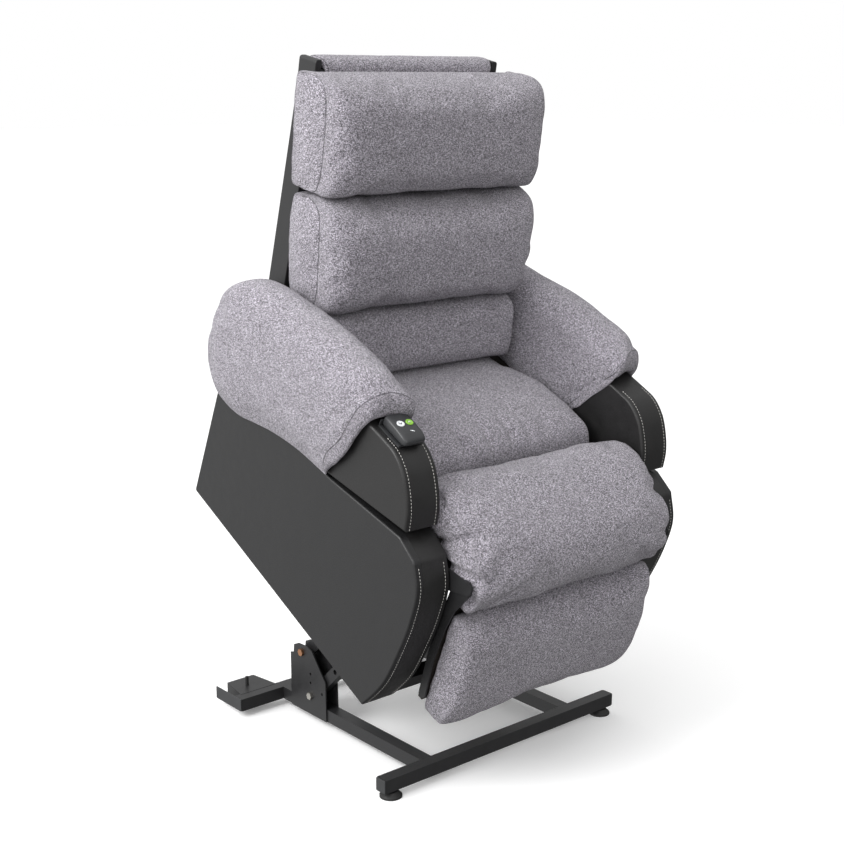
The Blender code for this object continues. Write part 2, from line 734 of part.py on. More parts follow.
def build_shell(back, use):
    """The vinyl-covered rear shell: a shallow tray that opens forwards."""
    outline = [(0.2825, 0.008), (0.2825, 0.140), (0.254, 0.600), *arc((0.222, 0.619), 0.032, 0, 90, 4)]
    loop = outline + [(-x, z) for x, z in reversed(outline)]
    shell = part("back_shell", prism(loop, 0.010, SHELL_REAR, "Y"), use["vinyl"], back)
    wall = 0.012
    inner = [(x - wall, z) for x, z in outline[1:3]]
    inner = [(inner[0][0], 0.008 + wall), *inner, (0.225, SHELL_TOP - wall)]
    hollow = inner + [(-x, z) for x, z in reversed(inner)]
    combine(shell, "DIFFERENCE", prism(hollow, 0.0, SHELL_REAR - wall, "Y"))


def build_back_bracket(back, use, side, sign):
    """Bolted to the shell's side. Its lower ear drives the connecting link."""
    crank = turned(BACK_LEAN, *turned(BACK_CRANK_ANGLE, BACK_CRANK, 0))
    outline = [
        *arc(crank, 0.012, 190, 340, 5),
        (0.030, -0.010),
        (0.055, 0.020),
        (0.055, 0.125),
        (0.022, 0.125),
        (-0.018, 0.010),
    ]
    loops = [outline, circle((0, 0), PIN_RADIUS + GAP)]
    lane = [sign * x for x in BRACKET_LANE]
    bracket = part("back_bracket_" + side, prism(loops, *lane), use["steel"], back)
    combine(bracket, "UNION", prism(circle(crank, 0.004), sign * (CONNECTING_LANE[0] - 0.001), sign * 0.285))


def build_connecting_links(chair, use):
    """The links that raise the footrest as the backrest reclines."""
    rear = [h + r for h, r in zip(BACK_HINGE, turned(BACK_CRANK_ANGLE, BACK_CRANK, 0))]
    front = [h + r for h, r in zip(FOOT_HINGE, turned(FOOT_CRANK_ANGLE, FOOT_CRANK, 0))]
    axis = frame("connecting_link_axis", chair, *rear, link_angle(rear, front))
    length = math.dist(rear, front)
    outline = slot_outline((0, 0), (-length, -0.0026), 0.0125)
    slot = slot_outline((-length, -0.0044), (-length, -0.0008), 0.0058, 6)
    for side, sign in SIDES:
        lane = [sign * x for x in CONNECTING_LANE]
        link = prism([outline, circle((0, 0), 0.004 + GAP), slot], *lane)
        part("connecting_link_" + side, link, use["steel"], axis)


# ---------------------------------------------------------------- leg rest
def build_footrest(chair, use):
    """Drawn in the footrest hinge's frame."""
    foot = frame("footrest_axis", chair, *FOOT_HINGE)

    def here(points):
        return [(y - FOOT_HINGE[0], z - FOOT_HINGE[1]) for y, z in points]

    board = here([(-0.020, 0.272), (-0.032, 0.272), (-0.0597, 0.045), (-0.0477, 0.045)])
    part("footrest_board", prism(board, -0.2830, 0.2830), use["wood"], foot)
    pad = here(
        [
            (-0.0328, 0.272), (-0.060, 0.277), (-0.092, 0.268),
            (-0.110, 0.225), (-0.126, 0.130), (-0.134, 0.065),
        ]
        + [(-0.127, 0.024), (-0.108, 0.002), (-0.082, 0.002), (-0.0645, 0.018)]
    )
    cushion = part("footrest_pad", prism(pad, -CUSHION_HALF, CUSHION_HALF), use["fabric"], foot)
    radius = 0.038
    low = 0.002 - FOOT_HINGE[1]
    for sign in (-1, 1):
        centre = (sign * (CUSHION_HALF - radius), low + radius)
        turn = arc(centre, radius, 270, 270 + sign * 90, 6)
        beyond = sign * (CUSHION_HALF + 0.020)
        corner = [*turn, (beyond, low + radius), (beyond, low - 0.020)]
        combine(cushion, "DIFFERENCE", prism([*corner, (centre[0], low - 0.020)], -0.120, 0.010, "Y"))
    crank = turned(FOOT_CRANK_ANGLE, FOOT_CRANK, 0)
    limb = here([(-0.070, 0.352), (-0.050, 0.290), (-0.046, 0.240), (-0.050, 0.150), (-0.068, 0.060)])
    limb += here([(-0.058, 0.050), (-0.049, 0.056), (-0.031, 0.150), (-0.022, 0.260), (-0.020, 0.330)])
    outline = [*limb, (crank[0] + 0.010, crank[1] + 0.004), (0.012, 0.010), (0.0, 0.015), (-0.012, 0.009)]
    for side, sign in SIDES:
        plate = prism([outline, circle((0, 0), PIN_RADIUS + GAP)], *[sign * x for x in BRACKET_LANE])
        arm = part("footrest_arm_" + side, plate, use["steel"], foot)
        pin = prism(circle(crank, 0.004), sign * (CONNECTING_LANE[0] - 0.001), sign * 0.285)
        combine(arm, "UNION", pin)


def build_knee_pad(chair, use):
    """The upper leg pad, which hangs on the seam at the seat cushion's front."""
    knee = frame("knee_axis", chair, *KNEE_SEAM)
    points = [
        (0.184, 0.437),
        (0.160, 0.466),
        (0.120, 0.482),
        (0.060, 0.476),
        (-0.010, 0.452),
        (-0.065, 0.418),
        (-0.092, 0.372),
        (-0.092, 0.325),
        (-0.076, 0.290),
        (-0.055, 0.284),
        (-0.030, 0.300),
        (0.020, 0.358),
        (0.080, 0.378),
        (0.170, 0.390),
    ]
    outline = [(y - KNEE_SEAM[0], z - KNEE_SEAM[1]) for y, z in points]
    part("knee_pad", prism(outline, -CUSHION_HALF, CUSHION_HALF), use["fabric"], knee)


# ---------------------------------------------------------------- assembly
def main():
    clear_scene()
    use = make_finishes()
    base = frame("base_frame", None, BASE_FRONT, 0.0)
    chair = frame("chair_frame", base, CHAIR_FRONT, CHAIR_HEIGHT, TILT)

    def chair_point(y, z):
        """A point of the chair's frame, in the base's frame."""
        turned_point = turned(TILT, y, z)
        return (CHAIR_FRONT + turned_point[0], CHAIR_HEIGHT + turned_point[1])

    build_base(base, use)
    build_links(base, chair_point, use)
    build_actuator(base, chair_point, use)
    build_chassis(chair, use)
    build_arms(chair, use)
    build_seat(chair, use)
    build_handset(chair, use)
    build_backrest(chair, use)
    build_connecting_links(chair, use)
    build_footrest(chair, use)
    build_knee_pad(chair, use)


main()
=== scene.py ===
"""Looks of a power lift recliner chair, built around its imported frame.

Metres, +Z up. The chair faces -Y and -X is the side with the handset.
"""
import math

import bpy
import bmesh
import numpy as np
from mathutils import Matrix, Vector


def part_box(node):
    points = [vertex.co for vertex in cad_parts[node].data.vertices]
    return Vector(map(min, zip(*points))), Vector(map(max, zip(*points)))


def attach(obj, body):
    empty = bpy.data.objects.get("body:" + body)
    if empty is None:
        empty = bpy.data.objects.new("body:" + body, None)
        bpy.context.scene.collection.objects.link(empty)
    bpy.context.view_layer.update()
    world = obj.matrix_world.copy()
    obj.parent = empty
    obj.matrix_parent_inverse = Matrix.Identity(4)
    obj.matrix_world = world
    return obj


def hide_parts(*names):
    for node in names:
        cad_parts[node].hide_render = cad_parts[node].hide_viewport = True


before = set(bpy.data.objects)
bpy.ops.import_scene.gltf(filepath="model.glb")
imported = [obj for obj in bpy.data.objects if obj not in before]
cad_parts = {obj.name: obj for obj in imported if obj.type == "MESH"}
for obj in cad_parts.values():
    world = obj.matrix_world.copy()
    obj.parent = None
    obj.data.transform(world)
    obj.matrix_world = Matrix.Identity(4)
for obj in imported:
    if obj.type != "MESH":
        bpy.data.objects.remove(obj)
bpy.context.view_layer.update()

# ---------------------------------------------------------------- frames of the chair's parts
BASE_FRONT = -0.2189
CHAIR_FRONT = 0.033
CHAIR_HEIGHT = 0.214
TILT = math.radians(27.6)
BACK_HINGE = (0.665, 0.37)
BACK_LEAN = math.radians(16.0)

CHAIR_ORIGIN = (0, BASE_FRONT + CHAIR_FRONT, CHAIR_HEIGHT)
CHAIR = Matrix.Translation(CHAIR_ORIGIN) @ Matrix.Rotation(TILT, 4, "X")
BACK = CHAIR @ Matrix.Translation((0, *BACK_HINGE)) @ Matrix.Rotation(-BACK_LEAN, 4, "X")

# ---------------------------------------------------------------- sizes
HALF_WIDTH = 0.380          # outer face of the side panels
PANEL_INNER = 0.3615
POST_OUTER = 0.3612
ARM_INNER = 0.2935          # inner face of the arm fronts and posts
ARM_MIDDLE = 0.3475         # middle of the arm pads
CELL = 0.0075               # edge length of the cushion meshes
SHELL_REAR = 0.069
SHELL_STITCHES = 85
SEAM_INSET = 0.0115         # from the edge of a stitched front to its row of stitches
STITCH_PITCH = 0.0068
STITCH_LENGTH = 0.0044
STITCH_RADIUS = 0.00055
SOFT_EDGE = math.radians(50)  # vinyl edges that turn less than this are shaded smooth

# ---------------------------------------------------------------- cloth simulation
SIMULATED_FRAMES = 18
CLOTH = {
    "quality": 5,
    "mass": 0.25,
    "tension_stiffness": 14,
    "compression_stiffness": 14,
    "shear_stiffness": 6,
    "bending_stiffness": 0.35,
    "use_pressure": True,
    "vertex_group_mass": "held",
}


# ---------------------------------------------------------------- curves
def spline(points, count):
    """Evenly spaced points along a smooth open curve through the given ones."""
    p = np.array(points, float)
    gaps = np.maximum(np.linalg.norm(np.diff(p, axis=0), axis=1), 1e-9)
    slopes = np.diff(p, axis=0) / gaps[:, None]
    tangents = np.empty_like(p)
    tangents[0], tangents[-1] = slopes[0], slopes[-1]
    before, after = gaps[:-1, None], gaps[1:, None]
    tangents[1:-1] = (slopes[:-1] * after + slopes[1:] * before) / (before + after)
    t = np.linspace(0, 1, 12, endpoint=False)[:, None]
    runs = []
    for k, gap in enumerate(gaps):
        runs.append(
            (2 * t**3 - 3 * t**2 + 1) * p[k]
            + (t**3 - 2 * t**2 + t) * gap * tangents[k]
            + (3 * t**2 - 2 * t**3) * p[k + 1]
            + (t**3 - t**2) * gap * tangents[k + 1]
        )
    return evenly(np.vstack(runs + [p[-1:]]), count)


def lengths(path):
    """Distance along a path at each of its points."""
    steps = np.linalg.norm(np.diff(path, axis=0), axis=1)
    return np.concatenate([[0], np.cumsum(steps)])


def evenly(path, count):
    """The same path with count evenly spaced points."""
    along = lengths(path)
    wanted = np.linspace(0, along[-1], count)
    return np.stack([np.interp(wanted, along, path[:, k]) for k in range(path.shape[1])], 1)


def rounded(points, radius, steps=5):
    """A closed outline whose corners are rounded; radius is a number, or a list of one for each."""
    p = [Vector(q) for q in points]
    radii = radius if isinstance(radius, list) else [radius] * len(p)
    nearly_straight = math.radians(86)
    out = []
    for k, corner in enumerate(p):
        a, b = p[k - 1] - corner, p[(k + 1) % len(p)] - corner
        half = a.angle(b) / 2
        if radii[k] <= 0 or half > nearly_straight:
            out.append(tuple(corner))
            continue
        reach = min(radii[k] / math.tan(half), a.length * 0.49, b.length * 0.49)
        start, end = corner + a.normalized() * reach, corner + b.normalized() * reach
        for step in range(steps + 1):
            t = step / steps
            q = start * (1 - t) ** 2 + corner * 2 * t * (1 - t) + end * t**2
            out.append(tuple(q))
    return out


def ripple(values, pitch, seed):
    """A smooth uneven wave from -1 to 1, with no repeat that shows."""
    v = np.asarray(values, float) / pitch * 2 * math.pi
    return (
        0.5 * np.sin(v + seed)
        + 0.32 * np.sin(v * 0.613 + 2.3 * seed + 1.1)
        + 0.18 * np.sin(v * 1.71 + 0.7 * seed + 2.9)
    )


def ease(values, low, high):
    """0 below low, 1 above high, smooth between."""
    t = np.clip((np.asarray(values, float) - low) / (high - low), 0, 1)
    return t * t * (3 - 2 * t)


# ---------------------------------------------------------------- meshes
def add_object(name, mesh):
    obj = bpy.data.objects.new(name, mesh)
    bpy.context.scene.collection.objects.link(obj)
    return obj


def soft_mesh(name, vertices, faces, weave, seam, notes):
    """A mesh whose corners know their place on the cloth and their distance from a seam.

    notes are named values for each vertex, read back with note().
    """
    mesh = bpy.data.meshes.new(name)
    mesh.from_pydata([tuple(v) for v in vertices], [], faces)
    for key, values in notes.items():
        layer = mesh.attributes.new(key, "FLOAT", "POINT")
        layer.data.foreach_set("value", np.asarray(values, np.float32))
    for layer, values in (("weave", weave), ("seam", seam)):
        uv = mesh.uv_layers.new(name=layer)
        flat = np.array([c for face in values for c in face], np.float32).ravel()
        uv.data.foreach_set("uv", flat)
    bm = bmesh.new()
    bm.from_mesh(mesh)
    bmesh.ops.remove_doubles(bm, verts=bm.verts, dist=1e-5)
    bmesh.ops.dissolve_degenerate(bm, edges=bm.edges, dist=1e-6)
    bmesh.ops.recalc_face_normals(bm, faces=bm.faces)
    bm.to_mesh(mesh)
    bm.free()
    mesh.shade_smooth()
    return mesh


def read(items, key, width):
    values = np.empty(len(items) * width)
    items.foreach_get(key, values)
    return values.reshape(-1, width)


def note(mesh, key):
    return read(mesh.attributes[key].data, "value", 1)[:, 0]


def coordinates(mesh):
    return read(mesh.vertices, "co", 3)


def normals(mesh):
    return read(mesh.vertices, "normal", 3)


def set_coordinates(mesh, co):
    mesh.vertices.foreach_set("co", np.asarray(co, float).ravel())
    mesh.update()


def relax(mesh, free, rounds):
    """Evens out the free vertices a little."""
    edges = np.empty(len(mesh.edges) * 2, int)
    mesh.edges.foreach_get("vertices", edges)
    a, b = edges.reshape(-1, 2).T
    co = coordinates(mesh)
    count = np.bincount(a, minlength=len(co)) + np.bincount(b, minlength=len(co))
    for _ in range(rounds):
        total = np.zeros_like(co)
        np.add.at(total, a, co[b])
        np.add.at(total, b, co[a])
        mean = total / np.maximum(count, 1)[:, None]
        co = co + (mean - co) * 0.5 * free[:, None]
    set_coordinates(mesh, co)


def inflate(cover, pressure, slack, reach):
    """Blows a cover up like a filled cushion, with its held vertices sewn down.

    No vertex moves further than reach.
    """
    obj, mesh, held = cover.obj, cover.mesh, cover.held
    before = coordinates(mesh)
    group = obj.vertex_groups.new(name="held")
    group.add([int(k) for k in np.nonzero(held > 0.5)[0]], 1.0, "REPLACE")
    cloth = obj.modifiers.new("cloth", "CLOTH")
    settings = cloth.settings
    for key, value in CLOTH.items():
        setattr(settings, key, value)
    settings.uniform_pressure_force = pressure
    settings.shrink_min = slack
    settings.effector_weights.gravity = 0
    cloth.collision_settings.use_collision = False
    cloth.collision_settings.use_self_collision = False
    cloth.point_cache.frame_end = SIMULATED_FRAMES
    scene = bpy.context.scene
    for step in range(1, SIMULATED_FRAMES + 1):
        scene.frame_set(step)
    depsgraph = bpy.context.evaluated_depsgraph_get()
    after = coordinates(obj.evaluated_get(depsgraph).data)
    obj.modifiers.remove(cloth)
    obj.vertex_groups.remove(group)
    scene.frame_set(1)
    moved = after - before
    size = np.linalg.norm(moved, axis=1)
    limited = reach * np.tanh(size / reach)
    moved *= (limited / np.maximum(size, 1e-9))[:, None]
    set_coordinates(mesh, before + moved)
    relax(mesh, (held < 0.5) * 0.6, 2)


def place_of(body):
    """The frame that a body's pieces are drawn in."""
    return {"backrest": BACK, "base": Matrix.Identity(4)}.get(body, CHAIR)


def finish_soft(obj, body, node_name):
    """Puts a finished cushion in its place, covers it with the cloth and hides the solid it stands
    for.
    """
    obj.data.transform(place_of(body))
    obj.data.update()
    subdivision = obj.modifiers.new("subdivision", "SUBSURF")
    subdivision.levels = 1
    subdivision.render_levels = 1
    subdivision.uv_smooth = "NONE"
    obj.data.materials.append(FABRIC)
    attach(obj, body)
    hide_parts(node_name)


class Cushion:
    """A stuffed cushion with a face, a back and two sewn-in side pieces.

    face and back are open curves in (y, z) from the lower tip to the upper tip.
    width is the half width, or a function that gives it at the share f of the way between the tips.
    Towards the sides the section shrinks to the point hold, by thin in depth and drop in height,
    and power says how late. puff is how far the side pieces swell, and columns how many cells
    they have.
    """

    def __init__(self, name, face, back, width, hold, thin, power, puff, columns, drop, sewn=True):
        count = int(round(lengths(np.array(face))[-1] / CELL))
        front = spline(face, count + 1)
        rear = spline(back, count + 1)
        ring = np.vstack([front, rear[-2:0:-1]])
        size = len(ring)
        share = np.concatenate([np.arange(count + 1), np.arange(count - 1, 0, -1)]) / count
        on_face = np.arange(size) <= count
        around = np.concatenate([lengths(ring), [0]])
        around[-1] = around[-2] + np.linalg.norm(ring[-1] - ring[0])
        half = np.array([width(f) if callable(width) else width for f in share])
        fine = np.linspace(0, 1, 1500)
        roll = 1 - (1 - fine**power) ** (1 / power)
        hold = np.array(hold)
        depth = abs(front[:, 0] - hold[0]).max()
        reach = lengths(np.stack([fine * half.max(), -roll * thin * depth], 1))
        stations = 2 * int(round(reach[-1] / CELL))
        positive = np.interp(np.linspace(0, reach[-1], stations // 2 + 1), reach, fine)
        across = np.concatenate([-positive[:0:-1], positive])
        travel = np.interp(np.abs(across), fine, reach) * np.sign(across)
        vertices, seam_distance, held, info = [], [], [], []
        for u, gone in zip(across, travel):
            rolled = np.interp(abs(u), fine, roll)
            section = hold + (ring - hold) * (1 - np.array([thin, drop]) * rolled)
            for j in range(size):
                vertices.append((u * half[j], *section[j]))
                seam_distance.append((reach[-1] - abs(gone), around[j]))
                held.append(1.0 if abs(u) > 0.9999 or not on_face[j] else 0.0)
                info.append((u, share[j], 1.0 if on_face[j] else 0.0))
        faces, weave, seam = [], [], []
        for k in range(stations):
            for j in range(size):
                nxt = (j + 1) % size
                corners = [k * size + j, k * size + nxt, (k + 1) * size + nxt, (k + 1) * size + j]
                faces.append(corners)
                along = (around[j], around[j + 1], around[j + 1], around[j])
                weave.append([(travel[c // size], v) for c, v in zip(corners, along)])
                seam.append([(seam_distance[c][0], v) for c, v in zip(corners, along)])
        for side, row in ((-1, 0), (1, stations)):
            grid = {}
            for i in range(count + 1):
                a = row * size + i
                b = row * size + (size - i) % size if 0 < i < count else a
                start, end = np.array(vertices[a]), np.array(vertices[b])
                gap = np.linalg.norm(end - start)
                for c in range(columns + 1):
                    if c in (0, columns) or i in (0, count):
                        grid[i, c] = a if c == 0 or i in (0, count) else b
                        continue
                    t = c / columns
                    point = start * (1 - t) + end * t
                    swell = (4 * t * (1 - t)) ** 0.7 * math.sin(math.pi * i / count) ** 0.5
                    point[0] += side * puff * swell
                    grid[i, c] = len(vertices)
                    vertices.append(tuple(point))
                    tip = min(i, count - i) / count * around[count]
                    seam_distance.append((min(t * gap, (1 - t) * gap, tip), around[i]))
                    held.append(0.0)
                    info.append((side, i / count, 2.0))
            for i in range(count):
                for c in range(columns):
                    corners = [grid[i, c], grid[i + 1, c], grid[i + 1, c + 1], grid[i, c + 1]]
                    corners = list(dict.fromkeys(corners))
                    if len(corners) < 3:
                        continue
                    faces.append(corners)
                    weave.append([(vertices[q][1] + 0.7 * side, vertices[q][2]) for q in corners])
                    rim = range(row * size, row * size + size)
                    seam.append([
                        (0.0 if q in rim else seam_distance[q][0], seam_distance[q][1])
                        for q in corners
                    ])
        info = np.array(info)
        notes = {
            "held": held,
            "u": info[:, 0],
            "f": info[:, 1],
            "side": info[:, 2],
            "gap": [d[0] for d in seam_distance],
            "around": [d[1] for d in seam_distance],
        }
        if not sewn:
            seam = [[(1.0, v) for _, v in face] for face in seam]
        self.mesh = soft_mesh(name, vertices, faces, weave, seam, notes)
        self.obj = add_object(name, self.mesh)
        self.held, self.u, self.f, self.side, self.seam_distance, self.around = (
            note(self.mesh, key) for key in notes
        )
        self.x = coordinates(self.mesh)[:, 0]

    def push(self, amount):
        """Moves each vertex along its normal by its own amount."""
        set_coordinates(self.mesh, coordinates(self.mesh) + normals(self.mesh) * amount[:, None])

    def lift(self, amount):
        co = coordinates(self.mesh)
        co[:, 2] += amount
        set_coordinates(self.mesh, co)

    def puckers(self, depth, reach, pitch, seed):
        """Short gathers that run away from the side seams."""
        wave = 0.5 + 0.5 * ripple(self.around, pitch, seed)
        self.push(-depth * np.exp(-self.seam_distance / reach) * wave * (self.side < 1.5))

    def lumps(self, height, size, seed):
        """The uneven surface of stuffing under cloth."""
        wave = ripple(self.x, size, seed) * ripple(self.around, size * 0.8, seed + 1.7)
        wave = wave + 0.6 * ripple(self.x + 0.7 * self.around, size * 0.7, seed + 4.1)
        self.push(height * wave * (self.side > 0.5))


# ---------------------------------------------------------------- materials
def new_material(name, colour, roughness, metallic=0.0):
    material = bpy.data.materials.new(name)
    material.use_nodes = True
    tree = material.node_tree
    shader = tree.nodes["Principled BSDF"]
    shader.inputs["Base Color"].default_value = (*colour, 1)
    shader.inputs["Roughness"].default_value = roughness
    shader.inputs["Metallic"].default_value = metallic
    return material, tree, shader


def node(tree, kind, inputs=None, **settings):
    made = tree.nodes.new(kind)
    for key, value in settings.items():
        setattr(made, key, value)
    for key, value in (inputs or {}).items():
        if isinstance(value, bpy.types.NodeSocket):
            tree.links.new(value, made.inputs[key])
        else:
            made.inputs[key].default_value = value
    return made


def maths(tree, operation, *values):
    return node(tree, "ShaderNodeMath", dict(enumerate(values)), operation=operation).outputs[0]


def stretched(tree, vector, scale):
    return node(
        tree, "ShaderNodeVectorMath", {0: vector, 1: scale}, operation="MULTIPLY"
    ).outputs[0]


def noise_value(tree, vector, scale=1.0, detail=2.0, roughness=0.5):
    inputs = {"Vector": vector, "Scale": scale, "Detail": detail, "Roughness": roughness}
    return node(tree, "ShaderNodeTexNoise", inputs).outputs[0]


def ramp(tree, value, stops):
    made = node(tree, "ShaderNodeValToRGB", {0: value})
    elements = made.color_ramp.elements
    while len(elements) < len(stops):
        elements.new(0.5)
    for element, (position, colour) in zip(elements, stops):
        element.position = position
        element.color = (*colour, 1)
    return made.outputs[0]


def paint(tree, shader, value, colour, shades):
    """Colours the surface with lighter and darker shares of one colour, by value."""
    stops = [(at, tuple(min(1.0, c * share) for c in colour)) for at, share in shades]
    tree.links.new(ramp(tree, value, stops), shader.inputs["Base Color"])


def spread(tree, value, low, high, new_low, new_high):
    inputs = {0: value, 1: low, 2: high, 3: new_low, 4: new_high}
    return node(tree, "ShaderNodeMapRange", inputs).outputs[0]


def bump(tree, shader, height, distance, strength=1.0):
    made = node(
        tree, "ShaderNodeBump", {"Height": height, "Distance": distance, "Strength": strength}
    )
    tree.links.new(made.outputs[0], shader.inputs["Normal"])


def woven_fabric(name, tint, pitch):
    """Coarse heather cloth: light and dark threads over and under each other."""
    shades = ((0.42, 0.08), (0.57, 0.52), (0.72, 1.28), (0.88, 3.3))
    material, tree, shader = new_material(name, tint, 0.92)
    shader.inputs["Sheen Weight"].default_value = 0.25
    shader.inputs["Sheen Roughness"].default_value = 0.5
    shader.inputs["Specular IOR Level"].default_value = 0.2
    cloth = node(tree, "ShaderNodeUVMap", uv_map="weave").outputs[0]
    seam = node(tree, "ShaderNodeUVMap", uv_map="seam").outputs[0]
    threads = stretched(tree, cloth, (1 / pitch, 1 / pitch, 0))
    wander = noise_value(tree, cloth, 60.0, 2.0)
    moved = node(
        tree, "ShaderNodeVectorMath", {0: threads, 1: wander}, operation="ADD"
    ).outputs[0]
    cell = node(tree, "ShaderNodeVectorMath", {0: moved}, operation="FLOOR").outputs[0]
    knot = node(
        tree, "ShaderNodeTexWhiteNoise", {"Vector": cell}, noise_dimensions="2D"
    ).outputs[0]
    weft = noise_value(tree, stretched(tree, moved, (0.16, 1.0, 0)), 1.0, 1.0)
    warp = noise_value(tree, stretched(tree, moved, (1.0, 0.2, 0)), 1.0, 1.0)
    fine = noise_value(tree, moved, 1.7, 2.0)
    mixed = maths(tree, "MULTIPLY", knot, 0.34)
    for layer, part in ((weft, 0.42), (warp, 0.3), (fine, 0.3)):
        mixed = maths(tree, "MULTIPLY_ADD", layer, part, mixed)
    colour = ramp(
        tree, mixed, [(at, tuple(min(1.0, c * share) for c in tint)) for at, share in shades]
    )
    patches = spread(tree, noise_value(tree, cloth, 22.0, 3.0), 0.3, 0.7, 0.93, 1.07)
    # Within 2.2 mm of a seam the cloth colour is darkened to 0.38 of its own: painted shade in the
    # seam. The same value also sinks the seam in the bump.
    distance = node(tree, "ShaderNodeSeparateXYZ", {0: seam}).outputs[0]
    seam_groove_and_shade = node(
        tree, "ShaderNodeMapRange", {0: distance, 1: 0.0004, 2: 0.0022, 3: 0.0, 4: 1.0},
        interpolation_type="SMOOTHSTEP",
    ).outputs[0]
    shade = maths(tree, "MULTIPLY", patches, maths(tree, "MULTIPLY_ADD", seam_groove_and_shade, 0.62, 0.38))
    tinted = node(
        tree, "ShaderNodeVectorMath", {0: colour, "Scale": shade}, operation="SCALE"
    ).outputs[0]
    tree.links.new(tinted, shader.inputs["Base Color"])
    parts = node(tree, "ShaderNodeSeparateXYZ", {0: moved})
    over, under = (
        maths(tree, "ABSOLUTE", maths(tree, "SINE", maths(tree, "MULTIPLY", part, math.pi)))
        for part in parts.outputs[:2]
    )
    height = maths(tree, "MULTIPLY_ADD", maths(tree, "MULTIPLY", over, under), 0.6, mixed)
    height = maths(tree, "MULTIPLY_ADD", seam_groove_and_shade, 1.6, height)
    bump(tree, shader, height, 0.0011, 0.8)
    return material


def soft_vinyl(name, colour, roughness):
    """Upholstery vinyl with a fine leather grain."""
    material, tree, shader = new_material(name, colour, roughness)
    place = node(tree, "ShaderNodeTexCoord").outputs["Object"]
    grain = node(
        tree, "ShaderNodeTexVoronoi", {"Vector": place, "Scale": 620.0}, feature="SMOOTH_F1"
    ).outputs[0]
    pores = noise_value(tree, place, 1500.0, 2.0)
    waves = noise_value(tree, place, 9.0, 2.0)
    patches = noise_value(tree, place, 45.0, 3.0)
    mixed = maths(tree, "MULTIPLY_ADD", grain, 0.35, maths(tree, "MULTIPLY", patches, 0.65))
    paint(tree, shader, mixed, colour, ((0.25, 0.82), (0.75, 1.22)))
    rough = spread(tree, patches, 0.3, 0.7, roughness - 0.04, roughness + 0.06)
    tree.links.new(rough, shader.inputs["Roughness"])
    height = maths(tree, "MULTIPLY_ADD", pores, 0.25, grain)
    height = maths(tree, "MULTIPLY_ADD", waves, 9.0, height)
    bump(tree, shader, height, 0.00028, 0.8)
    return material


def coated_metal(name, colour, roughness, metallic, grain_scale, depth, spread_by=0.07):
    """Painted, plated or moulded hard surface with a fine grain and slight wear."""
    material, tree, shader = new_material(name, colour, roughness, metallic)
    place = node(tree, "ShaderNodeTexCoord").outputs["Object"]
    grain = noise_value(tree, place, grain_scale, 3.0, 0.6)
    patches = noise_value(tree, place, 35.0, 4.0, 0.6)
    mixed = maths(tree, "MULTIPLY_ADD", grain, 0.5, maths(tree, "MULTIPLY", patches, 0.5))
    paint(tree, shader, mixed, colour, ((0.3, 0.75), (0.7, 1.3)))
    rough = spread(tree, mixed, 0.3, 0.7, roughness - spread_by, roughness + spread_by)
    tree.links.new(rough, shader.inputs["Roughness"])
    bump(tree, shader, grain, depth, 0.6)
    return material


def plywood_material():
    material, tree, shader = new_material("plywood", (0.03, 0.024, 0.02), 0.6)
    place = node(tree, "ShaderNodeTexCoord").outputs["Object"]
    grain = noise_value(tree, stretched(tree, place, (6.0, 140.0, 140.0)), 1.0, 4.0, 0.6)
    tinted = ramp(tree, grain, [(0.3, (0.016, 0.013, 0.011)), (0.7, (0.034, 0.028, 0.023))])
    tree.links.new(tinted, shader.inputs["Base Color"])
    bump(tree, shader, grain, 0.0004, 0.5)
    return material


FABRIC = woven_fabric("heather_fabric", (0.228, 0.214, 0.241), 0.0013)
VINYL = soft_vinyl("black_vinyl", (0.0118, 0.0118, 0.0124), 0.44)
# A slightly darker copy of the same vinyl for the front post and the arm block: painted shade on
# these fronts, which face away from the key light.
VINYL_SHADED_FRONT = soft_vinyl("black_vinyl_front", (0.0115, 0.0112, 0.0112), 0.46)
THREAD = coated_metal("stitch_thread", (0.62, 0.6, 0.57), 0.7, 0.0, 2500.0, 0.0001)
STEEL = coated_metal("black_powder_coat", (0.017, 0.017, 0.018), 0.42, 0.0, 1300.0, 0.00012)
RUBBER = coated_metal("black_rubber", (0.012, 0.012, 0.012), 0.62, 0.0, 900.0, 0.0002)
ZINC = coated_metal("zinc_plate", (0.62, 0.6, 0.55), 0.32, 1.0, 700.0, 0.00006)
COPPER = coated_metal("copper_bush", (0.52, 0.27, 0.15), 0.38, 1.0, 700.0, 0.00006)
PLASTIC = coated_metal("dark_plastic", (0.03, 0.031, 0.033), 0.4, 0.0, 1700.0, 0.0001)
CHROME = coated_metal("bright_rod", (0.78, 0.78, 0.8), 0.14, 1.0, 400.0, 0.00002, 0.03)
GREEN = coated_metal("green_button", (0.2, 0.42, 0.045), 0.38, 0.0, 1500.0, 0.00005)
WHITE = coated_metal("white_button", (0.72, 0.74, 0.76), 0.38, 0.0, 1500.0, 0.00005)
PLYWOOD = plywood_material()

FINISHES = {
    "black_vinyl": VINYL,
    "black_steel": STEEL,
    "black_rubber": RUBBER,
    "zinc": ZINC,
    "plywood": PLYWOOD,
    "black_plastic": PLASTIC,
    "bright_rod": CHROME,
    "green_button": GREEN,
    "white_button": WHITE,
    "grey_fabric": FABRIC,
}


def refinish_frame():
    """Every carried-over solid gets the detailed finish of its slot."""
    for name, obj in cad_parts.items():
        for entry in obj.material_slots:
            slot_name = entry.material.name.split(".")[0] if entry.material else ""
            entry.material = FINISHES.get(slot_name, STEEL)
        if name.startswith("pivot_bolt_upper"):
            for entry in obj.material_slots:
                entry.material = COPPER


# ---------------------------------------------------------------- cushions
MEETING_LINE = (0.31, 1.3)  # pitch and seed of the wavy line where the two pillows meet


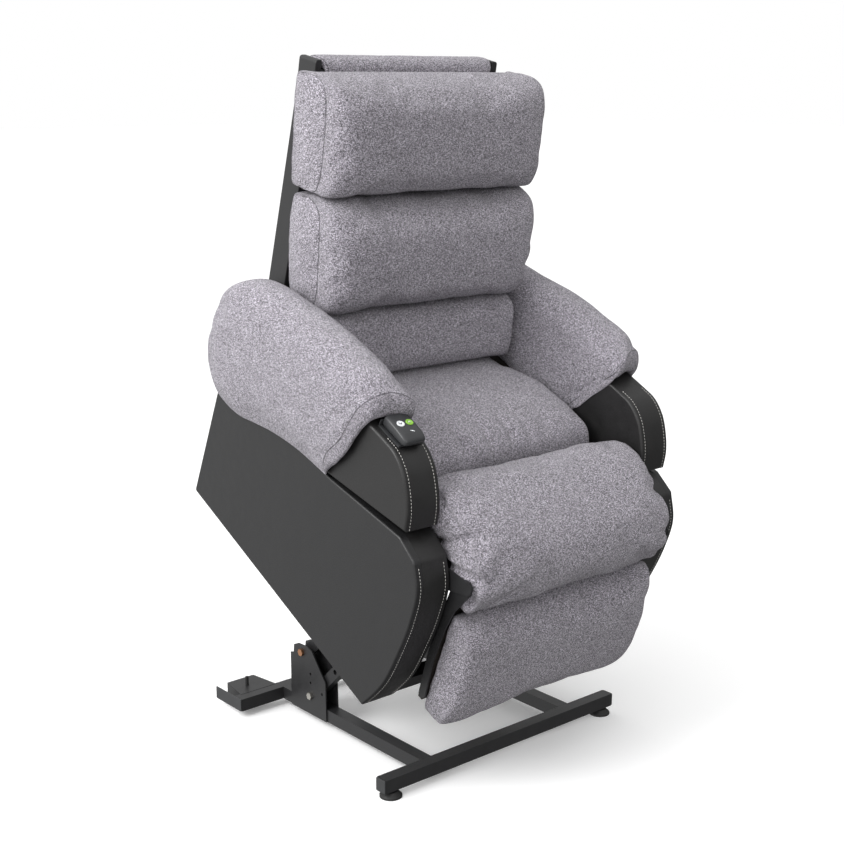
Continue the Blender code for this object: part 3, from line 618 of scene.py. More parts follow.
def make_head_pillow():
    face = [(-0.045, 0.413), (-0.1, 0.409), (-0.138, 0.417), (-0.151, 0.447),
            (-0.154, 0.5), (-0.151, 0.56), (-0.143, 0.608), (-0.125, 0.64), (-0.085, 0.655),
            (-0.04, 0.6545)]
    back = [(-0.045, 0.413), (-0.01, 0.416), (-0.0035, 0.44), (-0.0035, 0.53),
            (-0.0035, 0.62), (-0.008, 0.649), (-0.04, 0.6545)]
    c = Cushion("head_pillow_cover", face, back, 0.2955,
                (-0.004, 0.533), 0.37, 5.5, 0.0035, 12, 0.05)
    inflate(c, 3.0, -0.02, 0.009)
    wrap_round_shell(c, 0.42, 0.62)
    c.lift(0.006 * ripple(c.x, *MEETING_LINE) * ease(-c.f, -0.28, -0.02) * (c.side == 1))
    c.puckers(0.0022, 0.02, 0.06, 2.1)
    c.lumps(0.0018, 0.23, 0.6)
    finish_soft(c.obj, "backrest", "head_pillow")


def wrap_round_shell(cushion, low, high):
    """The rear corners of a pillow reach back past the edge of the shell."""
    co = coordinates(cushion.mesh)
    edge = ease(np.abs(co[:, 0]), 0.272, 0.288)
    behind = 1 - ease(-co[:, 1], 0.0, 0.1)
    rise = 0.3 + 0.7 * ease(co[:, 2], low, high)
    co[:, 1] += 0.022 * edge * behind * rise
    set_coordinates(cushion.mesh, co)


def make_lumbar_pillow():
    face = [(-0.055, 0.17), (-0.115, 0.163), (-0.156, 0.17), (-0.173, 0.196),
            (-0.179, 0.245), (-0.179, 0.3), (-0.172, 0.352), (-0.156, 0.386), (-0.122, 0.4015),
            (-0.055, 0.4035)]
    back = [(-0.055, 0.17), (-0.012, 0.174), (-0.0035, 0.2), (-0.0035, 0.29),
            (-0.0035, 0.378), (-0.01, 0.399), (-0.055, 0.4035)]

    def width(f):
        return 0.279 + 0.012 * float(ease(f, 0.18, 0.6))

    c = Cushion("lumbar_pillow_cover", face, back, width,
                (-0.004, 0.29), 0.38, 5.5, 0.005, 14, 0.06)
    inflate(c, 3.4, -0.03, 0.01)
    c.lift(0.006 * ripple(c.x, *MEETING_LINE) * ease(c.f, 0.72, 0.98) * (c.side == 1))
    c.lift(0.004 * ripple(c.x, 0.27, 5.2) * ease(-c.f, -0.25, -0.02) * (c.side == 1))
    c.puckers(0.0025, 0.022, 0.05, 0.4)
    corner = np.exp(-c.seam_distance / 0.035) * ease(-c.f, -0.3, -0.05)
    c.push(-0.006 * corner * (0.5 + 0.5 * ripple(c.around, 0.026, 3.0)))
    c.lumps(0.002, 0.24, 2.6)
    finish_soft(c.obj, "backrest", "lumbar_pillow")


def make_lower_back():
    face = [(-0.08, 0.0105), (-0.135, 0.008), (-0.158, 0.017), (-0.164, 0.05),
            (-0.162, 0.1), (-0.156, 0.138), (-0.135, 0.156), (-0.08, 0.158)]
    back = [(-0.08, 0.0105), (-0.02, 0.024), (-0.0035, 0.04), (-0.0035, 0.08),
            (-0.0035, 0.135), (-0.015, 0.154), (-0.08, 0.158)]
    c = Cushion("lower_back_cover", face, back, 0.2705,
                (-0.01, 0.085), 0.06, 8.0, 0.001, 12, 0.02)
    inflate(c, 2.0, -0.01, 0.004)
    c.puckers(0.0015, 0.02, 0.06, 4.0)
    c.lumps(0.0012, 0.2, 0.2)
    finish_soft(c.obj, "backrest", "lower_back_pillow")


def make_seat():
    face = [(0.196, 0.36), (0.197, 0.42), (0.213, 0.446), (0.255, 0.456), (0.32, 0.456),
            (0.4, 0.446), (0.465, 0.428), (0.52, 0.409), (0.575, 0.3965), (0.618, 0.386),
            (0.629, 0.34)]
    back = [(0.196, 0.36), (0.2, 0.305), (0.23, 0.2935), (0.4, 0.2935), (0.6, 0.2935),
            (0.624, 0.305), (0.629, 0.34)]
    c = Cushion("seat_cushion_cover", face, back, 0.27,
                (0.41, 0.31), 0.04, 6.0, 0.0015, 14, 0.14)
    inflate(c, 3.0, -0.02, 0.007)
    top = (c.side == 1) * ease(c.f, 0.12, 0.2)
    fade = 1 - ease(c.f, 0.16, 0.46)
    folds = np.zeros(len(c.x))
    for place, width, depth in ((-0.105, 0.012, 0.7), (-0.03, 0.009, 1.0), (0.035, 0.01, 0.9),
                                (0.085, 0.008, 0.6), (0.15, 0.014, 0.4)):
        folds += depth * np.exp(-(((c.x - place) / width) ** 2))
    c.push(-0.011 * folds * fade * top)
    c.puckers(0.002, 0.022, 0.055, 1.0)
    c.lumps(0.0022, 0.21, 3.4)
    finish_soft(c.obj, "chair", "seat_cushion")


def make_knee_pad():
    face = [(-0.04, 0.291), (-0.062, 0.286), (-0.08, 0.299), (-0.093, 0.33),
            (-0.092, 0.37), (-0.065, 0.416), (-0.01, 0.45), (0.06, 0.473), (0.118, 0.48),
            (0.156, 0.466), (0.178, 0.446), (0.184, 0.428)]
    back = [(-0.04, 0.291), (-0.028, 0.303), (-0.002, 0.33), (0.02, 0.357),
            (0.05, 0.372), (0.08, 0.38), (0.12, 0.386), (0.165, 0.392), (0.184, 0.428)]

    def width(f):
        gathered = 0.015 * math.exp(-((f - 0.52) / 0.03) ** 2)
        gathered += 0.011 * math.exp(-((f - 0.3) / 0.035) ** 2)
        corner = 0.02 * max(0.0, (f - 0.86) / 0.14) ** 2
        lower = 0.006 * max(0.0, (0.12 - f) / 0.12) ** 2
        return 0.28 - gathered - corner - lower

    c = Cushion("knee_pad_cover", face, back, width,
                (0.03, 0.372), 0.2, 6.0, 0.006, 9, 0.2, sewn=False)
    inflate(c, 3.2, -0.03, 0.012)
    c.puckers(0.006, 0.026, 0.036, 2.7)
    lip = (c.side == 1) * np.exp(-(((c.f - 0.17) / 0.05) ** 2))
    c.push(-0.0022 * lip * (1 + 0.6 * ripple(c.x, 0.09, 3.1)))
    curl = np.exp(-c.seam_distance / 0.05) * np.exp(-(((c.f - 0.13) / 0.1) ** 2))
    c.push(-0.01 * curl * (0.5 + 0.5 * np.sin(c.around / 0.01)))
    c.lumps(0.0026, 0.19, 1.9)
    finish_soft(c.obj, "knee", "knee_pad")


def make_footrest_pad():
    face = [(-0.094, 0.0045), (-0.11, 0.006), (-0.125, 0.026), (-0.132, 0.066),
            (-0.128, 0.13), (-0.115, 0.205), (-0.098, 0.256), (-0.078, 0.272), (-0.056, 0.2755)]
    back = [(-0.094, 0.0045), (-0.08, 0.006), (-0.068, 0.02), (-0.0625, 0.05),
            (-0.054, 0.12), (-0.045, 0.19), (-0.037, 0.25), (-0.0375, 0.268), (-0.056, 0.2755)]

    half, radius, height, face_length = 0.2745, 0.05, 0.06, 0.29

    def width(f):
        """The two lower corners are round."""
        drop = max(0.0, height - f * face_length)
        return half - radius + math.sqrt(max(0.0, radius**2 - (drop * radius / height) ** 2))

    c = Cushion("footrest_pad_cover", face, back, width,
                (-0.062, 0.145), 0.3, 6.0, 0.003, 7, 0.015, sewn=False)
    inflate(c, 3.0, -0.025, 0.01)
    c.puckers(0.003, 0.02, 0.045, 0.9)
    c.lumps(0.0022, 0.2, 5.9)
    finish_soft(c.obj, "footrest", "footrest_pad")


def make_back_roll():
    face = [(0.0085, 0.623), (0.002, 0.625), (-0.001, 0.64), (0.001, 0.66),
            (0.012, 0.672), (0.033, 0.6755), (0.056, 0.673), (0.069, 0.663),
            (0.071, 0.656), (0.068, 0.6515)]
    back = [(0.0085, 0.623), (0.0093, 0.633), (0.0098, 0.645), (0.0115, 0.6512),
            (0.03, 0.6514), (0.068, 0.6515)]

    def width(f):
        return 0.226 + 0.012 * float(ease(f, 0.1, 0.6))

    c = Cushion("back_top_roll", face, back, width,
                (0.039, 0.65), 0.03, 10.0, 0.002, 4, 0.03)
    c.lumps(0.0007, 0.15, 5.9)
    finish_soft(c.obj, "backrest", "back_top_strip")


# ---------------------------------------------------------------- arm pads
class ArmPad:
    """A thick cover laid over the arm: an outer skin, a hidden lining and rolled edges.

    TOP and the two edges are lines in (y, z) along the arm. SKIN_OUT and SKIN_IN are (x, share of
    the height) across it. All are for the left arm; side mirrors them.
    """

    TAIL = (0.8165, 0.445)
    TOP = [(0.244, 0.62), (0.285, 0.632), (0.38, 0.634), (0.47, 0.628), (0.58, 0.611),
           (0.68, 0.589), (0.755, 0.552), (0.802, 0.5), TAIL]
    OUTER_EDGE = [(0.318, 0.369), (0.39, 0.361), (0.46, 0.346), (0.525, 0.326),
                  (0.575, 0.306), (0.62, 0.288), (0.67, 0.2795), (0.722, 0.284),
                  (0.77, 0.317), (0.804, 0.375), TAIL]
    INNER_EDGE = [(0.33, 0.396), (0.45, 0.394), (0.6, 0.394), (0.72, 0.395),
                  (0.78, 0.415), TAIL]
    SKIN_OUT = [(0.3868, 0.0), (0.3975, 0.08), (0.4045, 0.22), (0.4078, 0.42), (0.407, 0.62),
                (0.401, 0.8), (0.385, 0.935), (0.367, 0.985), (ARM_MIDDLE, 1.0)]
    SKIN_IN = [(0.29, 0.0), (0.2897, 0.3), (0.2897, 0.62), (0.2907, 0.8), (0.2975, 0.925),
               (0.315, 0.985), (ARM_MIDDLE, 1.0)]
    # How far back the front edge lies, at shares of the way from the inner hem to the outer hem.
    LIP_AT = (0.0, 0.22, 0.34, 0.4, 0.48, 0.62, 0.78, 0.88, 0.94, 1.0)
    LIP_SHIFT = (0.0, -0.012, -0.028, -0.02, 0.012, 0.018, 0.003, 0.014, 0.008, -0.01)
    LIP_REACH = 0.05
    LIP_SWELL = 0.021
    LIP_DIRECTION = np.array([0.0, -0.84, -0.54])
    HEM_SWELL = 0.0035
    SKIN_NARROWS = 0.690        # from here back to the tail, the skin and the lining draw in
    LINING_NARROWS = 0.735
    LINING_TOP = 0.554
    LINING_REAR = 0.79
    LINING_IN = 0.293
    LINING_OUT = 0.3811
    LINING_CORNER = 0.008
    ROWS, COLUMNS, EDGE = 64, 58, 6

    def __init__(self, name, side):
        top = spline(self.TOP, self.ROWS + 1)
        low = spline(self.OUTER_EDGE, self.ROWS + 1)
        inner = spline(self.INNER_EDGE, self.ROWS + 1)
        share = np.linspace(0, 1, self.COLUMNS + 1)
        lip_shift = np.interp(share, self.LIP_AT, self.LIP_SHIFT)
        skin = []
        lining = []
        for a in range(self.ROWS + 1):
            late = max(0.0, (top[a][0] - self.SKIN_NARROWS) / (self.TAIL[0] - self.SKIN_NARROWS))
            narrow = math.sqrt(max(0.0, 1 - late**2.3))
            path = []
            for hem, half in ((inner, self.SKIN_IN), (low, self.SKIN_OUT[-2::-1])):
                for x, g in half:
                    y, z = hem[a] * (1 - g) + top[a] * g
                    path.append((ARM_MIDDLE + (x - ARM_MIDDLE) * narrow, y, z))
            row = spline(path, self.COLUMNS + 1)
            forward = math.exp(-((top[a][0] - top[0][0]) / self.LIP_REACH) ** 2)
            row[:, 1] += forward * lip_shift
            skin.append(row)
            lining.append(self.lining_row(a / self.ROWS, inner[a], low[a], top[a]))
        self.build(name, side, np.array(skin), np.array(lining))

    def lining_row(self, s, inner, low, top):
        """The hidden side of the cover, just outside the arm it lies on."""
        y_low, z_low = low
        y_in, z_in = inner
        y_top, z_skin = top
        y_tail, z_tail = self.TAIL
        late = max(0.0, (y_top - self.LINING_NARROWS) / (y_tail - self.LINING_NARROWS))
        narrow = math.sqrt(max(0.0, 1 - late**4))
        z_top = self.LINING_TOP * narrow + z_tail * (1 - narrow)
        z_top = max(min(z_top, z_skin - 0.012), z_tail)
        lean = (y_top - y_low) / max(z_skin - z_low, 0.02)
        y_roof = y_top - lean * (z_skin - z_top) if s < 0.6 else y_top
        y_roof, y_low, y_in = (min(y, self.LINING_REAR) for y in (y_roof, y_low, y_in))
        half_in, half_out = ARM_MIDDLE - self.LINING_IN, self.LINING_OUT - ARM_MIDDLE
        corner = self.LINING_CORNER
        ends = [
            (ARM_MIDDLE - half_in * narrow, y_in, z_in + 0.002),
            (ARM_MIDDLE - half_in * narrow, y_roof, z_top - corner),
            (ARM_MIDDLE - (half_in - corner) * narrow, y_roof, z_top),
            (ARM_MIDDLE + (half_out - corner) * narrow, y_roof, z_top),
            (ARM_MIDDLE + half_out * narrow, y_roof, z_top - corner),
            (ARM_MIDDLE + half_out * narrow, y_low, z_low + 0.003),
        ]
        return evenly(np.array(ends), self.COLUMNS + 1)

    def build(self, name, side, skin, lining):
        rows, columns, edge = self.ROWS, self.COLUMNS, self.EDGE
        vertices, faces, weave, seam, held, gap, outer = ([] for _ in range(7))

        def add_patch(grid, along, across, hold, distance, is_outer):
            start = len(vertices)
            n, m = grid.shape[:2]
            for i in range(n):
                for j in range(m):
                    vertices.append(grid[i, j])
                    held.append(hold[i, j])
                    gap.append(distance[i, j])
                    outer.append(is_outer)
            for i in range(n - 1):
                for j in range(m - 1):
                    quad = [(i, j), (i + 1, j), (i + 1, j + 1), (i, j + 1)]
                    faces.append([start + p * m + q for p, q in quad])
                    weave.append([(along[p, q], across[p, q]) for p, q in quad])
                    seam.append([(distance[p, q], across[p, q]) for p, q in quad])

        step = np.linalg.norm(np.diff(skin, axis=0), axis=2)
        along = np.vstack([np.zeros((1, columns + 1)), np.cumsum(step, axis=0)])
        turn = np.linalg.norm(np.diff(skin, axis=1), axis=2)
        across = np.hstack([np.zeros((rows + 1, 1)), np.cumsum(turn, axis=1)])
        across -= across[:, columns // 2][:, None]
        hold = np.zeros((rows + 1, columns + 1))
        hold[0, :] = hold[:, 0] = hold[:, -1] = 1
        add_patch(skin, along, across, hold, along, 1.0)
        ones = np.ones((rows + 1, columns + 1))
        add_patch(lining[:, ::-1], along, across, ones, ones, 0.0)

        def fade(count, over):
            """1 in the middle of a run of cells, 0 at both ends."""
            at = np.arange(count + 1)
            return np.minimum(1.0, np.minimum(at, count - at) / over)

        lip = np.empty((edge + 1, columns + 1, 3))
        for k in range(edge + 1):
            t = k / edge
            lip[k] = skin[0] * (1 - t) + lining[0] * t
            swell = self.LIP_SWELL * math.sin(math.pi * t) ** 0.7 * fade(columns, 7)
            lip[k] += self.LIP_DIRECTION * swell[:, None]
        step = np.linalg.norm(np.diff(lip, axis=0), axis=2)
        depth = np.vstack([np.zeros((1, columns + 1)), np.cumsum(step, axis=0)])
        hold = np.zeros((edge + 1, columns + 1))
        hold[0, :] = hold[-1, :] = hold[:, 0] = hold[:, -1] = 1
        add_patch(lip[::-1], -depth[::-1], np.tile(across[0], (edge + 1, 1)), hold[::-1],
                  depth[::-1], 2.0)
        for column, sign in ((0, -1), (columns, 1)):
            strip = np.empty((rows + 1, edge + 1, 3))
            for k in range(edge + 1):
                t = k / edge
                strip[:, k] = skin[:, column] * (1 - t) + lining[:, column] * t
                strip[:, k, 2] -= self.HEM_SWELL * math.sin(math.pi * t) * fade(rows, 5)
            ones = np.ones((rows + 1, edge + 1))
            add_patch(strip, np.tile(along[:, column][:, None], (1, edge + 1)),
                      across[:, column][:, None] + sign * np.arange(edge + 1) * 0.002,
                      ones, ones, 0.0)
        vertices = np.array(vertices)
        vertices[:, 0] *= side
        notes = {"held": held, "gap": gap, "outer": outer}
        self.mesh = soft_mesh(name, vertices, faces, weave, seam, notes)
        self.obj = add_object(name, self.mesh)
        self.held, self.gap, self.outer = (note(self.mesh, key) for key in notes)


def make_arm(side, label):
    pad = ArmPad(f"arm_cover_{label}", side)
    inflate(pad, 2.6, -0.015, 0.007)
    co = coordinates(pad.mesh)
    n = normals(pad.mesh)
    y, z = co[:, 1], co[:, 2]
    skin = pad.outer > 0.9
    lump = ripple(y, 0.2, 1.0 + side) * ripple(z, 0.17, 2.0) + 0.5 * ripple(y + z, 0.11, 4.0)
    co += n * (0.0016 * lump * skin)[:, None]
    near = np.exp(-pad.gap / 0.02) * skin * (pad.outer < 1.5)
    around = z + co[:, 0] * side
    co -= n * (0.0042 * near * (0.5 + 0.5 * ripple(around, 0.04, 2.0 + side)))[:, None]
    crease = np.abs((y - 0.3) * 0.75 + (z - 0.48) * 0.66)
    inside = (co[:, 0] * side < 0.3) * skin
    co -= n * (0.004 * np.exp(-((crease / 0.01) ** 2)) * inside * ease(z, 0.42, 0.47))[:, None]
    set_coordinates(pad.mesh, co)
    finish_soft(pad.obj, "chair", f"arm_pad_{label}")


# ---------------------------------------------------------------- vinyl pieces
def weigh_normals(mesh):
    """Broad flat faces keep their own normal; the turn happens in the narrow faces beside them."""
    around = {}
    for polygon in mesh.polygons:
        for vertex in polygon.vertices:
            around.setdefault(vertex, []).append(polygon)
    limit = math.cos(SOFT_EDGE)
    turned = []
    for polygon in mesh.polygons:
        for vertex in polygon.vertices:
            near = [p for p in around[vertex] if p.normal.dot(polygon.normal) > limit]
            turned.append(sum((p.normal * p.area for p in near), Vector()).normalized())
    mesh.normals_split_custom_set(turned)


def panel_mesh(name, outline, levels, radius, segments, sides=(True, True), axis="X"):
    """A padded slab: an outline in the other two axes between two levels, soft-edged.

    sides says which of the lower and the upper rim is soft.
    """
    bm = bmesh.new()

    def place(point, level):
        u, v = point
        return (level, u, v) if axis == "X" else (u, level, v)

    rings = [[bm.verts.new(place(p, level)) for p in outline] for level in levels]
    low, high = rings
    for k in range(len(outline)):
        bm.faces.new((low[k - 1], low[k], high[k], high[k - 1]))
    bm.faces.new(low[::-1])
    bm.faces.new(high)
    bmesh.ops.recalc_face_normals(bm, faces=bm.faces)
    edges = []
    for ring, wanted in zip(rings, sides):
        if wanted:
            members = set(ring)
            edges += [e for e in bm.edges if e.verts[0] in members and e.verts[1] in members]
    bmesh.ops.bevel(bm, geom=edges, offset=radius, offset_type="OFFSET", segments=segments,
                    profile=0.5, affect="EDGES", clamp_overlap=True)
    mesh = bpy.data.meshes.new(name)
    bm.to_mesh(mesh)
    bm.free()
    mesh.shade_smooth()
    mesh.set_sharp_from_angle(angle=SOFT_EDGE)
    weigh_normals(mesh)
    return mesh


def finish_hard(mesh, body, slot, material, node_name=None):
    """Puts a firm piece in its place; node_name is the solid it stands for, if any."""
    mesh.transform(place_of(body))
    mesh.update()
    mesh.materials.append(material)
    obj = add_object(mesh.name, mesh)
    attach(obj, body)
    if node_name:
        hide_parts(node_name)


def join_meshes(name, parts):
    """One mesh from several lists of vertices and faces."""
    vertices = []
    faces = []
    for points, polygons in parts:
        start = len(vertices)
        vertices += [tuple(p) for p in points]
        faces += [[start + k for k in polygon] for polygon in polygons]
    mesh = bpy.data.meshes.new(name)
    mesh.from_pydata(vertices, [], faces)
    mesh.shade_smooth()
    return mesh


def loft(rings):
    """A closed solid through rings of equal size, capped at both ends."""
    size = len(rings[0])
    points = [p for ring in rings for p in ring]
    polygons = []
    for start in range(0, size * (len(rings) - 1), size):
        for k in range(size):
            nxt = (k + 1) % size
            polygons.append([start + k, start + nxt, start + size + nxt, start + size + k])
    polygons.append(list(range(size))[::-1])
    polygons.append(list(range(len(points) - size, len(points))))
    return points, polygons


def stitch(centre, along, up):
    """One raised stitch: a short thread that dips into the cloth at both ends."""
    along, up = Vector(along).normalized(), Vector(up).normalized()
    across = along.cross(up)
    profile = ((-0.5, 0.15, -0.6), (-0.38, 0.85, 0.15), (0.0, 1.0, 0.45), (0.38, 0.85, 0.15),
               (0.5, 0.15, -0.6))
    turns = [(math.cos(math.tau * k / 6), math.sin(math.tau * k / 6)) for k in range(6)]
    rings = []
    for share, thick, rise in profile:
        middle = Vector(centre) + along * share * STITCH_LENGTH + up * rise * STITCH_RADIUS
        rings.append([middle + (across * c + up * s) * STITCH_RADIUS * thick for c, s in turns])
    return loft(rings)


def stitch_row(path, x):
    """Stitches along the front of an open line in (y, z) at one x."""
    path = evenly(path, int(lengths(path)[-1] / STITCH_PITCH) + 1)
    parts = []
    for a, b in zip(path, path[1:]):
        dy, dz = b - a
        parts.append(stitch((x, *(a + b) / 2), (0, dy, dz), (0, -dz, dy)))
    return parts


PANEL_FRONT = [(0.004, 0.0), (-0.008, 0.03), (-0.026, 0.09), (-0.033, 0.18),
               (-0.031, 0.27), (-0.017, 0.34), (0.02, 0.39)]
BLOCK_FRONT = [(0.066, 0.424), (0.077, 0.46), (0.1, 0.497), (0.13, 0.528), (0.168, 0.546),
               (0.205, 0.548)]


def make_vinyl_side(side, label):
    """One side's outer panel, front post and arm block, with their stitches."""
    soft_outside = (side < 0, side > 0)
    front = spline(PANEL_FRONT, 44).tolist()
    rest = rounded([(0.02, 0.39), (0.075, 0.405), (0.3, 0.366), (0.46, 0.352),
                    (0.73, 0.352), (0.706, 0.0), (0.004, 0.0)],
                   [0, 0.016, 0.05, 0.05, 0.006, 0.008, 0], 6)
    panel = panel_mesh(f"side_panel_{label}", front[1:-1] + rest,
                       sorted((side * PANEL_INNER, side * HALF_WIDTH)), 0.0075, 5, soft_outside)
    finish_hard(panel, "chair", "black_vinyl", VINYL, f"outer_side_{label}")

    rear = [(0.072, 0.404), (0.3, 0.365), (0.342, 0.361), (0.342, 0.354), (0.09, 0.392),
            (0.055, 0.386), (0.055, 0.03), (0.052, 0.0)]
    post = panel_mesh(f"front_post_cover_{label}", front + rear,
                      sorted((side * ARM_INNER, side * POST_OUTER)), 0.006, 4, soft_outside[::-1])
    finish_hard(post, "chair", "black_vinyl", VINYL_SHADED_FRONT, f"front_post_{label}")

    outline = spline(BLOCK_FRONT, 34).tolist()
    outline += [(0.3, 0.548), (0.344, 0.546), (0.344, 0.372), (0.316, 0.369)]
    block = panel_mesh(f"arm_block_{label}", outline,
                       sorted((side * ARM_INNER, side * HALF_WIDTH)), 0.0085, 5)
    finish_hard(block, "chair", "black_vinyl", VINYL_SHADED_FRONT, f"arm_front_{label}")

    rows = []
    for x in (side * (HALF_WIDTH - SEAM_INSET), side * (ARM_INNER + SEAM_INSET)):
        rows += stitch_row(spline(BLOCK_FRONT, 60), x)
        rows += stitch_row(spline(PANEL_FRONT, 80)[2:-3], x)
    mesh = join_meshes(f"front_stitching_{label}", rows)
    finish_hard(mesh, "chair", "grey_fabric", THREAD)


def make_shell():
    """The stitched vinyl shell behind the pillows, with an ear on each side of the top roll."""
    half = [(0.2825, 0.01), (0.2825, 0.14), (0.256, 0.6), (0.256, 0.671), (0.24, 0.671),
            (0.24, 0.6508)]
    radii = [0.012, 0.2, 0.2, 0.013, 0.002, 0.0]
    outline = rounded(half + [(-x, z) for x, z in half[::-1]], radii + radii[::-1], 8)
    mesh = panel_mesh("back_shell_cover", outline, (0.01, SHELL_REAR), 0.007, 5, axis="Y")
    finish_hard(mesh, "backrest", "black_vinyl", VINYL, "back_shell")
    seam = ((0.268, 0.03), (0.268, 0.14), (0.2395, 0.61))
    parts = []
    for side in (-1, 1):
        path = evenly(np.array([(side * x, z) for x, z in seam]), SHELL_STITCHES + 1)
        for a, b in zip(path, path[1:]):
            (x, z), (dx, dz) = (a + b) / 2, b - a
            parts.append(stitch((x, SHELL_REAR + 0.0002, z), (dx, 0, dz), (0, 1, 0)))
    mesh = join_meshes("shell_stitching", parts)
    finish_hard(mesh, "backrest", "grey_fabric", THREAD)


# ---------------------------------------------------------------- handset
def lathe(centre, profile, sides=32):
    """A solid turned about an upright line; profile is (radius, height)."""
    rings = []
    for radius, height in profile:
        rings.append([(centre[0] + radius * math.cos(math.tau * k / sides),
                       centre[1] + radius * math.sin(math.tau * k / sides),
                       centre[2] + height) for k in range(sides)])
    return loft(rings)


def raised_sign(name, outline, low, thickness):
    """A thin level plate with an outline in (x, y)."""
    rings = [[(x, y, z) for x, y in outline] for z in (low, low + thickness)]
    return join_meshes(name, [loft(rings)])


HANDSET = (-0.334, 0.160, 0.5528)   # middle, rear end and underside
BUTTONS = (0.046, 0.0238)           # how far forward and how high they are on it
BUTTON_APART = 0.011                # from the handset's middle line


def make_handset():
    x0, y0, base = HANDSET
    squareness = 0.42
    rings = []
    for y, half, low, top in ((0.0015, 0.0215, 0.006, 0.0125), (0.0035, 0.0245, 0.003, 0.016),
                              (0.0085, 0.0268, 0.0006, 0.0185), (0.02, 0.0278, 0.0002, 0.0215),
                              (0.04, 0.0279, 0.0002, 0.024), (0.06, 0.0279, 0.0002, 0.0248),
                              (0.074, 0.0276, 0.0004, 0.0248), (0.0765, 0.0266, 0.0014, 0.024),
                              (0.0778, 0.025, 0.003, 0.0222)):
        ring = []
        for k in range(40):
            turn = (math.cos(math.tau * k / 40), math.sin(math.tau * k / 40))
            c, s = (math.copysign(abs(v) ** squareness, v) for v in turn)
            ring.append((x0 + half * c, y0 + y, base + (low + top) / 2 + (top - low) / 2 * s))
        rings.append(ring)
    mesh = join_meshes("handset_body", [loft(rings)])
    mesh.set_sharp_from_angle(angle=math.radians(60))
    finish_hard(mesh, "handset", "black_plastic", PLASTIC, "handset_case")

    arrow = [(-0.0055, -0.001), (0.0005, -0.001), (0.0005, -0.0035), (0.006, 0.0),
             (0.0005, 0.0035), (0.0005, 0.001), (-0.0055, 0.001)]
    x, y = x0 + 0.004, y0 + 0.0235
    turned = [(x + u * 0.75 - v * 0.3, y - u * 0.35 + v * 0.75) for u, v in arrow]
    mesh = raised_sign("handset_arrow", turned, base + 0.0216, 0.001)
    finish_hard(mesh, "handset", "white_button", WHITE)

    for key, body, slot, side, material, mark in (
        ("button_lower", "lower_button", "white_button", -1, WHITE, PLASTIC),
        ("button_raise", "raise_button", "green_button", 1, GREEN, WHITE),
    ):
        x, y, z = x0 + side * BUTTON_APART, y0 + BUTTONS[0], base + BUTTONS[1]
        profile = [(0.0078, -0.0012), (0.0082, 0.0012), (0.008, 0.002), (0.0072, 0.0024),
                   (0.0056, 0.0021), (0.005, 0.0016), (0.001, 0.0017)]
        mesh = join_meshes(f"{key}_cap", [lathe((x, y, z), profile)])
        finish_hard(mesh, body, slot, material, key)
        chevron = [(-0.003, -0.001), (0.0, 0.0022), (0.003, -0.001), (0.003, 0.0008),
                   (0.0, 0.004), (-0.003, 0.0008)]
        sign = [(x + u, y + side * (v - 0.0012)) for u, v in chevron]
        mesh = raised_sign(f"{key}_mark", sign, z + 0.0014, 0.0009)
        finish_hard(mesh, body, "black_plastic", mark)


# ---------------------------------------------------------------- base details
def make_base_details():
    """Plastic plugs in the open ends of the two base bars."""
    for name in ("base_front_bar", "base_rear_bar"):
        low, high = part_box(name)
        outline = rounded([(low.y, low.z), (high.y, low.z), (high.y, high.z), (low.y, high.z)],
                          0.003, 3)
        for side, end, label in ((-1, low.x, "right"), (1, high.x, "left")):
            levels = sorted((end + side * 0.0002, end + side * 0.0032))
            mesh = panel_mesh(f"{name}_plug_{label}", outline, levels, 0.0012, 3)
            finish_hard(mesh, "base", "black_plastic", PLASTIC)


# ---------------------------------------------------------------- studio
FLOOR_SIZE = 40.0
WORLD_LIGHT = (-0.62, 0.10, 0.78)   # the direction the surrounding light is strongest from
LIGHTS = (                          # name, place, power in watts, width, height
    ("key", (-3.7, 0.3, 3.3), 158, 2.4, 2.4),
    ("fill", (-1.2, -4.0, 2.6), 30, 2.5, 2.0),
)
LIGHTS_AIM = (0, 0, 0.8)
CAMERA_PLACE = (-2.0955, -2.3951, 1.4688)
CAMERA_TURN = (math.radians(76.83), 0, math.radians(-40.35))
CAMERA_LENS = 62.33
CAMERA_SENSOR = 36.0


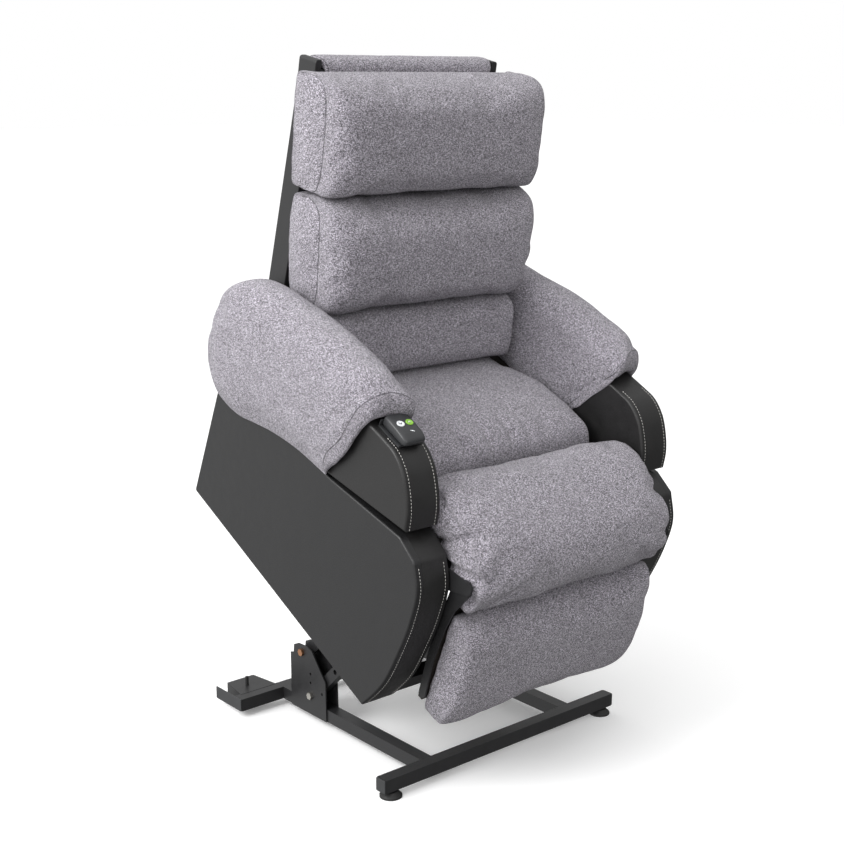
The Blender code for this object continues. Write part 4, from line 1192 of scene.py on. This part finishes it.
def make_studio():
    size = FLOOR_SIZE
    bm = bmesh.new()
    corners = [bm.verts.new((x, y, 0.0)) for x, y in
               ((-size, -size), (size, -size), (size, size), (-size, size))]
    bm.faces.new(corners)
    mesh = bpy.data.meshes.new("floor")
    bm.to_mesh(mesh)
    bm.free()
    material, tree, shader = new_material("pale_floor", (0.96, 0.96, 0.96), 1.0)
    shader.inputs["Specular IOR Level"].default_value = 0.0
    shader.inputs["Emission Color"].default_value = (1, 1, 1, 1)
    shader.inputs["Emission Strength"].default_value = 0.12
    mesh.materials.append(material)
    floor = add_object("floor", mesh)
    floor.visible_diffuse = False
    floor.visible_glossy = False

    world = bpy.data.worlds.new("studio")
    world.use_nodes = True
    tree = world.node_tree
    background = tree.nodes["Background"]
    direction = node(tree, "ShaderNodeTexCoord").outputs["Generated"]
    toward = node(
        tree, "ShaderNodeVectorMath", {0: direction, 1: WORLD_LIGHT},
        operation="DOT_PRODUCT",
    ).outputs["Value"]
    soft = spread(tree, toward, -0.6, 0.85, 0.2, 1.3)
    seen = node(tree, "ShaderNodeLightPath").outputs["Is Camera Ray"]
    strength = node(tree, "ShaderNodeMix", {0: seen, 2: soft, 3: 1.0}).outputs[0]
    background.inputs[0].default_value = (1, 1, 1, 1)
    tree.links.new(strength, background.inputs[1])
    bpy.context.scene.world = world

    for name, place, power, size_x, size_y in LIGHTS:
        light = bpy.data.lights.new(name, "AREA")
        light.shape = "RECTANGLE"
        light.size, light.size_y = size_x, size_y
        light.energy = power
        lamp = bpy.data.objects.new(name, light)
        lamp.location = place
        aim = Vector(LIGHTS_AIM) - Vector(place)
        lamp.rotation_euler = aim.to_track_quat("-Z", "Y").to_euler()
        bpy.context.scene.collection.objects.link(lamp)

    camera_data = bpy.data.cameras.new("camera")
    camera_data.lens = CAMERA_LENS
    camera_data.sensor_width = CAMERA_SENSOR
    camera = bpy.data.objects.new("camera", camera_data)
    camera.location = CAMERA_PLACE
    camera.rotation_euler = CAMERA_TURN
    bpy.context.scene.collection.objects.link(camera)
    bpy.context.scene.camera = camera
    bpy.context.scene.view_settings.view_transform = "Standard"


refinish_frame()
make_studio()
make_head_pillow()
make_lumbar_pillow()
make_lower_back()
make_seat()
make_knee_pad()
make_footrest_pad()
make_back_roll()
for arm_side, arm_label in ((-1, "right"), (1, "left")):
    make_arm(arm_side, arm_label)
    make_vinyl_side(arm_side, arm_label)
make_shell()
make_handset()
make_base_details()
